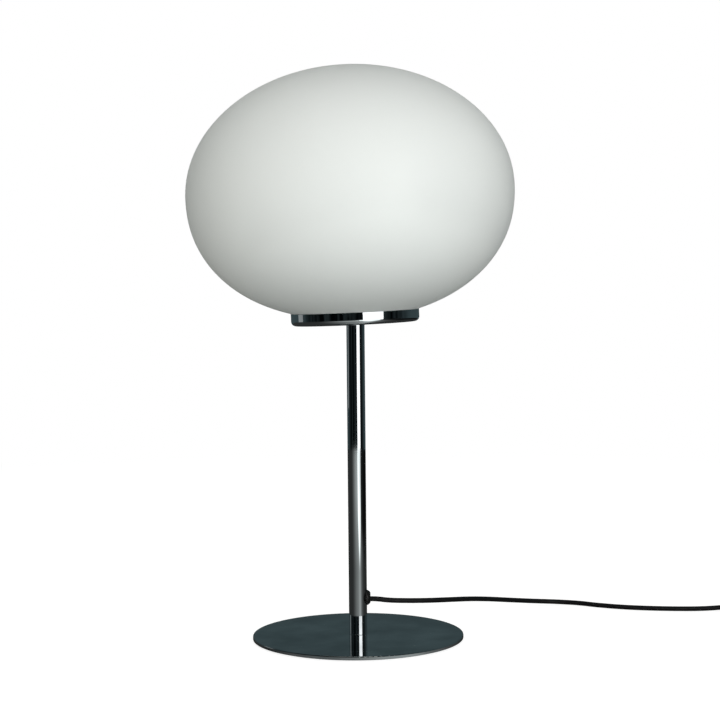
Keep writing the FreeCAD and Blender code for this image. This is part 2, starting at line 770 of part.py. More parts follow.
def build_spring_spider():
    """A hub clamped by the nut, with three arms bent up to bear on the glass neck."""
    body = new_body("spider")
    hub = new_sketch(body, "spider_hub", "XY_Plane", cup_floor)
    draw_circle(hub, 0, 0, size("spring_hub_dia") / 2)
    draw_circle(hub, 0, 0, size("nipple_dia") / 2)
    pad(body, hub, size("spring_sheet"))

    middle = cup_floor + size("spring_sheet") / 2
    start = size("spring_hub_dia") / 2 - size("spring_root")
    bump = neck_inside - size("spring_clear") - size("spring_sheet") / 2
    path = new_sketch(body, "spider_arm_path", "XZ_Plane")
    bend = size("spring_bend")
    arm = [
        (start, middle),
        (neck_inside - size("spring_foot"), middle, bend),
        (bump, cup_floor + size("spring_bump_up"), bend),
        (neck_inside - size("spring_tip_in"), cup_floor + size("spring_tip_up")),
    ]
    draw(path, arm, closed=False)
    strip = new_sketch(body, "spider_arm_strip", "YZ_Plane", start)
    half_wide = size("spring_arm_wide") / 2
    outline = [
        (-half_wide, cup_floor),
        (half_wide, cup_floor),
        (half_wide, spring_top),
        (-half_wide, spring_top),
    ]
    draw(strip, outline)
    doc.recompute()
    sweep = body.newObject("PartDesign::AdditivePipe", "spider_arm")
    sweep.Profile = strip
    sweep.Spine = (path, [f"Edge{number + 1}" for number in range(len(path.Shape.Edges))])
    sweep.Transition = "Transformed"
    doc.recompute()
    around(body, sweep, SPRING_ARMS)
    named(place(body, HEAD.inside(0, 0, 0, (0, 0, 1), 90)), "spring_spider")


def build_lock_washer():
    """A flat washer whose rim is notched into teeth."""
    outer = size("washer_dia") / 2
    body = new_body("washer")
    ring = new_sketch(body, "washer_ring", "XY_Plane", spring_top)
    draw_circle(ring, 0, 0, outer)
    draw_circle(ring, 0, 0, size("nipple_dia") / 2)
    pad(body, ring, size("washer_thick"))
    gap = new_sketch(body, "washer_gap", "XY_Plane", washer_top)
    inner = outer - size("washer_tooth")
    half = outer * (math.pi / WASHER_TEETH / 2)
    outline = [(inner, -half * 0.6), (outer + 1, -half), (outer + 1, half), (inner, half * 0.6)]
    draw(gap, outline)
    around(body, pocket(body, gap, size("washer_thick")), WASHER_TEETH)
    named(place(body, HEAD), "lock_washer")


def build_nipple_nut():
    """A hexagon nut whose corners are turned off at both ends."""
    body = new_body("nut_blank")
    hexagon = new_sketch(body, "nut_hexagon", "XY_Plane", washer_top)
    draw(hexagon, polygon(size("nut_flats"), NUT_SIDES))
    draw_circle(hexagon, 0, 0, size("nipple_dia") / 2)
    pad(body, hexagon, size("nut_high"))
    place(body, HEAD)
    corner = size("nut_flats") * (0.5 / math.cos(math.pi / NUT_SIDES))
    flat = size("nut_flats") / 2
    drop = (corner - flat) * math.tan(math.radians(NUT_BEVEL))
    outline = [
        (0, washer_top),
        (flat, washer_top),
        (corner, washer_top + drop),
        (corner, nut_top - drop),
        (flat, nut_top),
        (0, nut_top),
    ]
    bevels = turned("nut_bevels", outline, HEAD)
    named(common("nut", body, bevels), "nipple_nut")


# Lampholder


def build_holder_cap():
    """The threaded cap: a neck on the nipple that flares into a dome."""
    outer = size("holder_dia") / 2
    inner = outer - size("holder_wall")
    neck = size("holder_neck_dia") / 2
    neck_top = nut_top + size("holder_neck_high")
    dome_top = neck_top + size("holder_dome_high")
    floor = neck_top + size("holder_wall")
    outline = [
        (size("nipple_dia") / 2, nut_top),
        (neck, nut_top),
        (neck, neck_top),
        (outer - size("holder_dome_in"), dome_top, size("holder_dome_round")),
        (outer, cap_top),
        (inner, cap_top),
        (inner, insert_under),
        (inner - size("insert_ledge"), insert_under),
        (
            inner - size("insert_ledge"),
            dome_top + size("holder_wall"),
            size("holder_dome_round") - size("holder_wall"),
        ),
        (neck, floor),
        (size("nipple_dia") / 2, floor),
    ]
    blank = turned("cap_blank", outline, HEAD)
    drill = cylinder(
        "grub_drill",
        size("grub_dia") / 2,
        neck - size("nipple_dia") / 2 + 2,
        HEAD.inside(0, -size("nipple_dia") / 2, nut_top + size("grub_up"), (1, 0, 0), 90),
    )
    named(cut("cap", blank, drill), "holder_cap")


def build_holder_grub_screw():
    """The set screw in the cap's neck; it bites on the nipple, so the holder can't turn."""
    length = size("holder_neck_dia") / 2 - size("nipple_dia") / 2
    radius = size("grub_dia") / 2
    outline = [
        (0, 0),
        (radius, 0),
        (radius, length),
        (radius * 0.5, length),
        (radius * 0.5, length - size("grub_socket")),
        (0, length - size("grub_socket")),
    ]
    frame = HEAD.inside(0, -size("nipple_dia") / 2, nut_top + size("grub_up"), (1, 0, 0), 90)
    named(turned("grub", outline, frame), "holder_grub_screw")


def build_holder_skirt():
    """The skirt that screws on the cap, with a grip band and an in-turned mouth."""
    outer = size("holder_dia") / 2
    band = outer + size("holder_flange")
    wall = size("holder_wall")
    mouth = size("holder_mouth_dia") / 2
    band_top = cap_top + size("holder_band_high")
    outline = [
        (outer - wall, cap_top),
        (band, cap_top, 0.5),
        (band, band_top, 0.5),
        (outer, band_top),
        (outer, skirt_top, 1.2),
        (mouth, skirt_top, 0.6),
        (mouth, skirt_top - wall),
        (outer - wall, skirt_top - wall - 1),
    ]
    body = turned("skirt", outline, HEAD)
    groove = new_sketch(body, "skirt_groove", "XY_Plane", band_top + 1)
    draw_circle(groove, band + size("grip_groove_out"), 0, size("grip_groove"))
    around(body, pocket(body, groove, size("holder_band_high") + 2), GRIP_COUNT)
    named(body, "holder_skirt")


def build_holder_insert():
    """The contact block, with a well for each terminal screw."""
    outer = size("holder_dia") / 2 - size("holder_wall") - size("insert_gap")
    raised = size("shell_dia") / 2 - size("shell_sheet")
    outline = [
        (0, insert_under),
        (outer - 0.5, insert_under),
        (outer, insert_under + 0.5),
        (outer, cap_top),
        (raised, cap_top),
        (raised, insert_top),
        (0, insert_top),
    ]
    body = turned("block", outline, HEAD)
    well = new_sketch(body, "block_wells", "XY_Plane", insert_under)
    half = size("terminal_apart") / 2
    for side in (-1, 1):
        draw_circle(well, half * side, 0, size("terminal_dia") / 2)
    pocket(body, well, size("terminal_deep"), along_normal=True)
    named(body, "holder_contact_block")


def build_holder_screw_shell():
    """The thin metal thread shell that takes the bulb's cap."""
    outer = size("shell_dia") / 2
    inner = outer - size("shell_sheet")
    bottom = cap_top + size("shell_gap")
    top = bottom + size("shell_high")
    outline = [(inner, bottom), (outer, bottom), (outer, top), (inner, top)]
    named(turned("thread_shell", outline, HEAD), "holder_screw_shell")


def build_holder_centre_contact():
    """A bent strip that springs up under the bulb's centre contact.

    How far along the block each bend lies was chosen by hand.
    """
    body = new_body("centre_contact")
    side = new_sketch(body, "centre_contact_side", "XZ_Plane")
    sheet_thick = size("contact_sheet")
    outline = [
        (-7, insert_top),
        (-3.4, insert_top),
        (0.6, contact_top - sheet_thick),
        (3.4, contact_top - sheet_thick),
        (4.6, contact_top - 1.5),
        (5, contact_top - 1.2),
        (3.7, contact_top),
        (0.3, contact_top),
        (-3.6, insert_top + sheet_thick),
        (-7, insert_top + sheet_thick),
    ]
    draw(side, outline)
    pad(body, side, size("contact_wide"), both_ways=True)
    named(place(body, HEAD), "holder_centre_contact")


def build_holder_terminal_screws():
    """Two cheese-head screws under the block, each with a slot."""
    screws = []
    for side in (-1, 1):
        frame = HEAD.inside(size("terminal_apart") / 2 * side, 0, insert_under)
        shank = cylinder(
            f"terminal_shank_{len(screws)}", size("terminal_dia") / 2, size("terminal_deep"), frame
        )
        head = cylinder(
            f"terminal_head_{len(screws)}",
            size("terminal_head_dia") / 2,
            size("terminal_head_high"),
            frame.inside(0, 0, -size("terminal_head_high")),
        )
        slot = doc.addObject("Part::Box", f"terminal_slot_{len(screws)}")
        slot.setExpression("Length", (size("terminal_head_dia") + 2).formula)
        slot.setExpression("Width", size("terminal_slot").formula)
        slot.setExpression("Height", size("terminal_slot_deep").formula)
        corner = -size("terminal_head_dia") / 2 - 1
        edge = -size("terminal_slot") / 2
        place(slot, frame.inside(corner, edge, -size("terminal_head_high")))
        whole = fuse(f"terminal_whole_{len(screws)}", [shank, head])
        screws.append(cut(f"terminal_{len(screws)}", whole, slot))
    named(group("terminals", screws), "holder_terminal_screws")


def group(name, shapes):
    """Several separate solids as one node."""
    item = doc.addObject("Part::Compound", name)
    item.Links = shapes
    return item


# Glass globe


def fullness_curve(half_wide, half_high, power, middle, way, wall, lowest=None):
    """Points of a rounded curve from the widest ring to the axis, or to a radius.

    way is 1 above the widest ring and -1 below it; wall moves the curve inwards.
    """
    last = math.pi / 2
    if lowest is not None:
        last = math.acos((lowest / half_wide) ** (power / 2))
    points = []
    for step in range(GLOBE_POINTS):
        angle = last * step / (GLOBE_POINTS - 1)
        radius = half_wide * max(math.cos(angle), 0) ** (2 / power)
        height = half_high * math.sin(angle) ** (2 / power)
        slope_r = (radius / half_wide) ** (power - 1) / half_wide
        slope_h = (height / half_high) ** (power - 1) / half_high
        normal = Vector(slope_r, 0, slope_h).normalize()
        inward = Vector(radius, 0, height) - normal * wall
        points.append(Vector(max(inward.x, 0), 0, middle + way * inward.z))
        tangent = Vector(-normal.z, 0, way * normal.x)
    return points, tangent


def spline(points, start, finish):
    """A smooth curve through points with given end directions."""
    curve = Part.BSplineCurve()
    curve.interpolate(Points=points, InitialTangent=start, FinalTangent=finish)
    return curve.toShape()


def arc(start, start_direction, finish):
    """The arc from start, along a direction, to finish."""
    chord = finish - start
    normal = start_direction.cross(chord)
    to_centre = normal.cross(start_direction).normalize()
    radius = chord.Length**2 / (2 * chord.dot(to_centre))
    centre = start + to_centre * radius
    outward = (start - centre).normalize()
    spoke = finish - centre
    angle = math.atan2(spoke.dot(start_direction), spoke.dot(outward)) % (2 * math.pi)
    halfway = outward * math.cos(angle / 2) + start_direction * math.sin(angle / 2)
    return Part.Arc(start, centre + halfway * radius, finish).toShape()


def build_glass_globe():
    """Blown glass: a full, slightly flat ball with a neck that stands in the cup."""
    half_wide = size("globe_dia").number / 2
    under = size("globe_under").number
    under_power = size("globe_under_power").number
    over = size("globe_over").number
    over_power = size("globe_over_power").number
    wall = size("glass_wall").number
    cup_inside = (size("cup_dia") / 2 - size("cup_sheet")).number
    drop = under * (1 - (cup_inside / half_wide) ** under_power) ** (1 / under_power)
    middle = (size("cup_high") + size("rim_gap")).number + drop
    shoulder = (neck_radius + size("neck_shoulder")).number

    down = Vector(0, 0, -1)
    up = Vector(0, 0, 1)
    inwards = Vector(-1, 0, 0)
    foot = (cup_floor + size("seat_thick") + size("seat_gap")).number
    outside = neck_radius.number
    inside = neck_inside.number
    lower_out, slope = fullness_curve(half_wide, under, under_power, middle, -1, 0, shoulder)
    lower_in, _ = fullness_curve(half_wide, under, under_power, middle, -1, wall, shoulder)
    upper_out, _ = fullness_curve(half_wide, over, over_power, middle, 1, 0)
    upper_in, _ = fullness_curve(half_wide, over, over_power, middle, 1, wall)

    start, start_in = lower_out[-1], lower_in[-1]
    reach = (start.x - outside) / -slope.x
    corner = start + slope * reach
    bend_end = corner + down * reach
    bend_end_in = Vector(inside, 0, bend_end.z)
    round_end = wall / 2
    edges = [
        arc(Vector(inside, 0, foot + round_end), down, Vector(outside, 0, foot + round_end)),
        Part.makeLine(Vector(outside, 0, foot + round_end), bend_end),
        arc(bend_end, up, start),
        spline(lower_out[::-1], -slope, up),
        spline(upper_out, up, inwards),
        Part.makeLine(upper_out[-1], upper_in[-1]),
        spline(upper_in[::-1], -inwards, down),
        spline(lower_in, down, slope),
        arc(start_in, slope, bend_end_in),
        Part.makeLine(bend_end_in, Vector(inside, 0, foot + round_end)),
    ]
    face = Part.Face(Part.Wire(edges))
    solid = face.revolve(Vector(0, 0, 0), Vector(0, 0, 1), 360)
    named(formed("globe", solid, HEAD), "glass_globe")


# Bulb


def build_bulb():
    radius = size("bulb_dia") / 2
    seam = size("bulb_seam_dia") / 2
    cap = size("bulb_cap_dia") / 2
    pip = size("bulb_pip_dia") / 2
    waist = size("bulb_waist_dia") / 2
    wall = size("bulb_wall")
    cap_sheet = size("bulb_cap_sheet")
    top = bulb_under + size("bulb_long")
    pip_top = bulb_under + size("bulb_pip_high")
    insulator_top = pip_top + size("bulb_insulator_high")
    cap_end = bulb_under + size("bulb_cap_long")
    centre = top - radius
    seam_drop = math.sqrt(radius.number**2 - seam.number**2)
    seam_at = Size(
        centre.number - seam_drop, f"({centre.formula} - sqrt({radius.formula}^2 - {seam.formula}^2))"
    )

    outline = [
        (0, bulb_under),
        (pip - 1.6, bulb_under),
        (pip, bulb_under + 0.8),
        (pip, pip_top),
        (0, pip_top),
    ]
    named(turned("pip", outline, HEAD), "bulb_centre_contact")
    outline = [
        (0, pip_top),
        (pip, pip_top),
        (cap - cap_sheet - 1, insulator_top - 0.6),
        (cap - cap_sheet - 1, insulator_top),
        (0, insulator_top),
    ]
    named(turned("insulator", outline, HEAD), "bulb_insulator")
    outline = [
        (cap - cap_sheet - 1, insulator_top - 0.6),
        (cap - 1, insulator_top - 0.6),
        (cap, insulator_top + 1),
        (cap, cap_end),
        (cap - cap_sheet, cap_end),
        (cap - cap_sheet, insulator_top + 1),
        (cap - cap_sheet - 1, insulator_top),
    ]
    named(turned("bulb_cap", outline, HEAD), "bulb_screw_cap")
    outline = [
        (0, insulator_top + 1),
        (cap - cap_sheet, insulator_top + 1),
        (cap - cap_sheet, cap_end),
        (waist, cap_end),
        (waist, cap_end + 3),
        Bow((seam_at - cap_end) * 2.2, leftwards=False),
        (seam, seam_at),
        (0, seam_at),
    ]
    named(turned("housing", outline, HEAD), "bulb_housing")
    seam_inside = Size(
        math.sqrt((radius - wall).number ** 2 - seam_drop**2),
        f"sqrt({(radius - wall).formula}^2 - {radius.formula}^2 + {seam.formula}^2)",
    )
    outline = [
        (seam_inside, seam_at),
        (seam, seam_at),
        Bow(radius),
        (0, top),
        (0, top - wall),
        Bow(radius - wall, leftwards=False),
    ]
    named(turned("dome", outline, HEAD), "bulb_dome")


# Cords


def vector(x, y, z):
    """A point from sizes or numbers."""
    return Vector(sized(x).number, sized(y).number, sized(z).number)


def route_wire(points, bend=None):
    """Straight runs joined by tangent arcs, each as large as its two runs allow."""
    edges = []
    radii = []
    here = points[0]
    for before, corner, after in zip(points, points[1:], points[2:]):
        back = before - corner
        ahead = after - corner
        turn = math.pi - back.getAngle(ahead)
        if turn < NO_TURN:
            continue
        reach = RUN_SHARE * min(back.Length, ahead.Length)
        if bend is not None:
            reach = min(bend * math.tan(turn / 2), 2 * reach)
        radius = reach / math.tan(turn / 2)
        back.normalize()
        ahead.normalize()
        start = corner + back * reach
        finish = corner + ahead * reach
        inside = (back + ahead).normalize()
        middle = corner + inside * (radius / math.cos(turn / 2) - radius)
        edges.append(Part.makeLine(here, start))
        edges.append(Part.Arc(start, middle, finish).toShape())
        radii.append(round(radius, 1))
        here = finish
    edges.append(Part.makeLine(here, points[-1]))
    return Part.Wire(edges), radii


def round_tube(wire, diameter, label):
    """A round bar along a wire, checked against its section times its length."""
    first = wire.OrderedEdges[0]
    start = first.valueAt(first.FirstParameter)
    direction = first.tangentAt(first.FirstParameter)
    section = Part.Wire(Part.makeCircle(diameter / 2, start, direction))
    solid = wire.makePipeShell([section], True, False)
    expected = math.pi * diameter**2 / 4 * wire.Length
    print(f"{label}: length {wire.Length:.1f}, volume / expected {solid.Volume / expected:.4f}")
    return solid


def tube(label, points, diameter, bend=None):
    """A node that is a round bar along a route of points."""
    wire, radii = route_wire(points, bend)
    print(f"{label}: radii {radii}")
    return named(formed(label + "_bar", round_tube(wire, diameter, label)), label)


def in_head(x, y, z):
    """A point of the head's frame, in the lamp's frame."""
    return HEAD.placement.multVec(vector(x, y, z))


def build_stem_cord():
    """The cord inside the stem: in through the grommet, up, and through the nipple."""
    far_side = -(stem_bore - cord_radius - size("cord_to_wall"))
    points = [
        vector(stem_radius + size("grommet_proud"), 0, cord_exit_at),
        vector(far_side, 0, cord_exit_at),
        vector(far_side, 0, cord_exit_at + size("cord_leaves_wall")),
        vector(0, 0, cord_exit_at + size("cord_on_axis")),
        vector(0, 0, stem_top),
        in_head(0, 0, sheath_end),
    ]
    tube("stem_cord", points, size("cord_dia").number, size("cord_bend").number)


def build_conductors():
    """The two insulated conductors, from the end of the sheath to the terminal screws."""
    end = insert_under - size("wire_gap")
    for label, side in (("conductor_live", 1), ("conductor_neutral", -1)):
        beside = size("wire_beside") * side
        out = size("terminal_apart") / 2 * side
        aside = size("wire_aside") * side
        points = [
            in_head(beside, 0, sheath_end),
            in_head(beside, 0, sheath_end + size("wire_straight")),
            in_head(out, aside, end - size("wire_up")),
            in_head(out, aside, end),
        ]
        tube(label, points, size("wire_dia").number, size("wire_bend").number)


# Corners of the route from the lamp to the switch, chosen by hand; 2.2 up is on the floor
CORD_POINTS = [
    (26.5, 0.6, 32.0),
    (43, 3.5, 31.0),
    (62, 13, 29.2),
    (81, 30, 26.6),
    (100, 54, 22.6),
    (119, 83, 16.7),
    (140, 109, 10.6),
    (161, 132, 5.2),
    (186, 143, 2.2),
    (208, 135, 2.2),
    (222, 124, 2.2),
    (250, 111, 2.2),
    (283, 104, 2.2),
    (318, 102, 2.2),
    (348, 104, 4.2),
]


def build_cord_run():
    """The free cord from the grommet to the switch."""
    entry_x = size("switch_at_x")
    entry_y = size("switch_at_y")
    entry_z = size("switch_high") / 2
    exit_x = stem_radius + size("grommet_proud")
    points = [
        vector(exit_x, 0, cord_exit_at),
        vector(exit_x + size("cord_straight_exit"), 0, cord_exit_at),
    ]
    points.extend(Vector(*point) for point in CORD_POINTS)
    points.append(vector(entry_x - size("cord_straight_in"), entry_y, entry_z))
    points.append(vector(entry_x, entry_y, entry_z))
    tube("cord_run", points, size("cord_dia").number)


def build_cord_link():
    """The cord from the switch to the coil."""
    start_x = size("switch_at_x") + size("switch_long")
    start_y = size("switch_at_y")
    start_z = size("switch_high") / 2
    lead = coil_lead_in()
    points = [
        vector(start_x, start_y, start_z),
        vector(start_x + size("cord_straight_out"), start_y, start_z),
        vector(start_x + size("link_swing_x"), start_y - size("link_swing_y"), size("link_swing_z")),
        lead + Vector(0, size("coil_lead").number, 0),
        lead,
    ]
    tube("cord_link", points, size("cord_dia").number)


def coil_point(turned_by):
    """A point of the coil by the angle turned, clockwise seen from above."""
    step = size("coil_step").number
    per_radian = step / (2 * math.pi)
    halfway = math.pi * COIL_TURNS
    away = abs(turned_by - halfway)
    blend = math.pi / 2
    radius = size("coil_inner").number + per_radian * away
    climb = 0.0 if turned_by < halfway else 1.0
    if away < blend:
        radius = size("coil_inner").number + per_radian * (away**2 / (2 * blend) + blend / 2)
        climb = 0.5 + 0.5 * math.sin((turned_by - halfway) / blend * math.pi / 2)
    return Vector(
        size("coil_at_x").number + radius * math.cos(-turned_by),
        size("coil_at_y").number + radius * math.sin(-turned_by),
        (cord_radius + size("tie_thick") + size("tie_gap")).number + step * climb,
    )


def coil_lead_in():
    """Where the cord meets the coil, one diameter before the first turn."""
    return coil_point(0) + Vector(0, size("cord_dia").number, 0)


def coil_lead_out():
    """Where the cord leaves the coil, one diameter after the last turn."""
    return coil_point(2 * math.pi * COIL_TURNS) - Vector(size("cord_dia").number, 0, 0)


def biarc(start, start_way, finish, finish_way):
    """Two arcs that leave start and reach finish along the given directions."""
    chord = finish - start
    ways = start_way + finish_way
    bend = 2 * (1 - start_way.dot(finish_way))
    along = chord.dot(ways)
    reach = (-along + math.sqrt(along**2 + bend * chord.dot(chord))) / bend
    first_corner = start + start_way * reach
    last_corner = finish - finish_way * reach
    joint = (first_corner + last_corner) * 0.5
    joint_way = (last_corner - first_corner).normalize()
    return [arc(start, start_way, joint), arc(joint, joint_way, finish)]


def build_cord_coil():
    """The put-away cord: a flat spiral inwards, a climb, and a spiral out on top of it."""
    whole = 2 * math.pi * COIL_TURNS
    quarters = round(COIL_TURNS * 4)
    nudge = 1e-4
    places = []
    for quarter in range(quarters + 1):
        at = whole * quarter / quarters
        way = (coil_point(at + nudge) - coil_point(at - nudge)).normalize()
        places.append((coil_point(at), way))
    places[0] = (places[0][0], Vector(0, -1, 0))
    places[-1] = (places[-1][0], Vector(-1, 0, 0))
    edges = [Part.makeLine(coil_lead_in(), places[0][0])]
    for (start, start_way), (finish, finish_way) in zip(places, places[1:]):
        edges.extend(biarc(start, start_way, finish, finish_way))
    edges.append(Part.makeLine(places[-1][0], coil_lead_out()))
    wire = Part.Wire(edges)
    print(f"cord_coil: least gap to itself {least_gap(wire):.2f}")
    named(formed("coil_bar", round_tube(wire, size("cord_dia").number, "cord_coil")), "cord_coil")


def least_gap(wire):
    """The least clear distance between turns, measured on points of the centre line."""
    points = wire.discretize(Number=int(COIL_TURNS * POINTS_PER_TURN))
    apart = POINTS_PER_TURN // 2
    least = min(
        points[first].distanceToPoint(points[second])
        for first in range(len(points))
        for second in range(first + apart, len(points))
    )
    return least - size("cord_dia").number


def build_coil_tie():
    """The strip that holds the coil together, laid round its turns on the lamp's side."""
    side = size("coil_inner") - cord_radius - size("tie_gap")
    turns = COIL_TURNS / 2 - 0.5
    reach = size("coil_inner") + size("coil_step") * turns + cord_radius
    far = reach + size("tie_gap") + size("tie_slack")
    low = size("tie_thick")
    high = low + size("cord_dia") + size("coil_step") + size("tie_gap") * 2
    thick = size("tie_thick")
    body = new_body("tie")
    strip = new_sketch(body, "tie_strip", "XZ_Plane")
    inside_round = size("tie_round")
    outside_round = inside_round + thick
    outer = [
        (-far - thick, 0, outside_round),
        (-side + thick, 0, outside_round),
        (-side + thick, high + thick, outside_round),
        (-far - thick, high + thick, outside_round),
    ]
    draw(strip, outer)
    pad(body, strip, size("tie_wide"), both_ways=True)
    opening = new_sketch(body, "tie_opening", "XZ_Plane")
    inner = [
        (-far, low, inside_round),
        (-side, low, inside_round),
        (-side, high, inside_round),
        (-far, high, inside_round),
    ]
    draw(opening, inner)
    pocket(body, opening, size("tie_wide"), both_ways=True)
    named(place(body, LAMP.inside(size("coil_at_x"), size("coil_at_y"), 0)), "cord_tie")


def build_cord_tail():
    """The cord from the coil to the plug."""
    start = coil_lead_out()
    end = vector(size("plug_at_x"), size("plug_at_y"), size("plug_thick") / 2)
    points = [
        start,
        start - Vector(size("tail_straight").number, 0, 0),
        end + Vector(size("plug_straight").number, 0, 0),
        end,
    ]
    tube("cord_tail", points, size("cord_dia").number)


# Switch on the cord


def switch_outline(inset):
    """The switch's outline from above, moved inwards by inset, with tapered ends."""
    half_long = size("switch_long") / 2 - inset
    half_wide = size("switch_wide") / 2 - inset
    half_nose = size("switch_nose_wide") / 2 - inset
    shoulder = size("switch_long") / 2 - size("switch_taper")
    nose_round = size("switch_nose_round") - inset
    side_round = size("switch_side_round") - inset
    return [
        (-half_long, -half_nose, nose_round),
        (-shoulder, -half_wide, side_round),
        (shoulder, -half_wide, side_round),
        (half_long, -half_nose, nose_round),
        (half_long, half_nose, nose_round),
        (shoulder, half_wide, side_round),
        (-shoulder, half_wide, side_round),
        (-half_long, half_nose, nose_round),
    ]


def round_edges(body, name, radius, height):
    """Round the outer edges of the flat face at a height of the body's own frame."""
    doc.recompute()
    base = body.Tip
    chosen = []
    for number, edge in enumerate(base.Shape.Edges, start=1):
        box = edge.BoundBox
        if abs(box.ZMin - height) < NO_TURN * 10 and abs(box.ZMax - height) < NO_TURN * 10:
            chosen.append(f"Edge{number}")
    fillet = body.newObject("PartDesign::Fillet", name)
    fillet.Base = (base, chosen)
    fillet.setExpression("Radius", sized(radius).formula)
    doc.recompute()
    return fillet


def case_shell(name, frame):
    """One half of the switch's case, open side up, in its own frame."""
    half_high = size("switch_high") / 2
    wall = size("switch_wall")
    body = new_body(name)
    base = new_sketch(body, name + "_base", "XY_Plane")
    draw(base, switch_outline(0))
    pad(body, base, half_high)
    round_edges(body, name + "_edges", size("switch_edge_round"), 0)
    hollow = new_sketch(body, name + "_hollow", "XY_Plane", wall)
    draw(hollow, switch_outline(wall))
    pocket(body, hollow, half_high - wall, along_normal=True)
    posts = new_sketch(body, name + "_posts", "XY_Plane", wall / 2)
    half = size("case_screw_apart") / 2
    for side in (-1, 1):
        draw_circle(posts, half * side, size("switch_wide") / 4, size("case_screw_dia"))
    pad(body, posts, half_high - wall / 2)
    channel = new_sketch(body, name + "_channel", "YZ_Plane")
    draw_circle(channel, 0, half_high, cord_radius)
    pocket(body, channel, size("switch_long") + 2, both_ways=True)
    drill = new_sketch(body, name + "_drill", "XY_Plane")
    for side in (-1, 1):
        draw_circle(drill, half * side, size("switch_wide") / 4, size("case_screw_dia") / 2)
    pocket(body, drill, half_high, along_normal=True)
    return place(body, frame)


def build_switch():
    half_long = size("switch_long") / 2
    high = size("switch_high")
    wall = size("switch_wall")
    middle = LAMP.inside(size("switch_at_x") + half_long, size("switch_at_y"), 0)
    lower = case_shell("switch_lower", middle)
    named(lower, "switch_lower_shell")

    upper = case_shell("switch_upper", middle.inside(0, 0, high, (1, 0, 0), 180))
    window = new_sketch(upper, "switch_window", "XY_Plane")
    half_window = size("rocker_long") / 2 + size("rocker_gap") + size("window_over")
    side = size("rocker_wide") / 2 + size("rocker_gap")
    corner = size("window_round")
    outline = [
        (-half_window, -side, corner),
        (half_window, -side, corner),
        (half_window, side, corner),
        (-half_window, side, corner),
    ]
    draw(window, outline)
    pocket(upper, window, wall, along_normal=True)
    named(upper, "switch_upper_shell")

    pivot_at = high - size("pivot_below")
    ears = size("switch_wide") / 2 - wall / 2
    pin = cylinder(
        "pivot", size("pivot_dia") / 2, ears * 2, middle.inside(0, -ears, pivot_at, (1, 0, 0), -90)
    )
    named(pin, "switch_pivot_pin")
    build_rocker(middle.inside(0, 0, pivot_at, (0, 1, 0), -size("rocker_angle") / 2))
    build_case_screws(middle)
    build_switch_contacts(middle)


def build_rocker(frame):
    """The rocker about its pin: two finger faces that meet in a shallow valley."""
    body = new_body("rocker")
    side = new_sketch(body, "rocker_side", "XZ_Plane")
    half = size("rocker_long") / 2
    tall = size("pivot_below") + size("rocker_up")
    keel = -size("rocker_keel")
    ends = -size("rocker_end_under")
    tips = tall - size("rocker_end_drop")
    edge = size("rocker_round")
    outline = [
        (-half * 0.45, keel, edge),
        (half * 0.45, keel, edge),
        (half, ends, edge),
        (half, tips),
        Bow(size("rocker_long") * 1.6, leftwards=False),
        (-half, tips),
        (-half, ends, edge),
    ]
    draw(side, outline)
    draw_circle(side, 0, 0, size("pivot_dia") / 2 + size("pivot_gap"))
    pad(body, side, size("rocker_wide"), both_ways=True)
    named(place(body, frame), "switch_rocker")


def build_case_screws(middle):
    """Two small screws that hold the case together from below."""
    radius = size("case_screw_dia") / 2
    length = size("switch_high") - size("switch_wall") - size("case_screw_short")
    screws = []
    for side in (-1, 1):
        frame = middle.inside(
            size("case_screw_apart") / 2 * side, size("switch_wide") / 4, size("case_screw_sunk")
        )
        outline = [
            (0, size("case_screw_slot")),
            (radius * 0.4, size("case_screw_slot")),
            (radius * 0.4, 0),
            (radius, 0),
            (radius, length),
            (0, length),
        ]
        screws.append(turned(f"case_screw_{len(screws)}", outline, frame))
    named(group("case_screws", screws), "switch_case_screws")


def build_switch_contacts(middle):
    """The fixed contact and the terminal plate in the lower shell."""
    plates = []
    for side in (-1, 1):
        plate = doc.addObject("Part::Box", f"contact_plate_{len(plates)}")
        plate.setExpression("Length", size("contact_plate_long").formula)
        plate.setExpression("Width", size("contact_plate_wide").formula)
        plate.setExpression("Height", size("contact_plate_thick").formula)
        along = size("contact_plate_apart") / 2 * side - size("contact_plate_long") / 2
        aside = -size("contact_plate_aside") - size("contact_plate_wide") / 2
        place(plate, middle.inside(along, aside, size("switch_wall")))
        plates.append(plate)
    named(group("switch_plates", plates), "switch_contacts")


# Plug


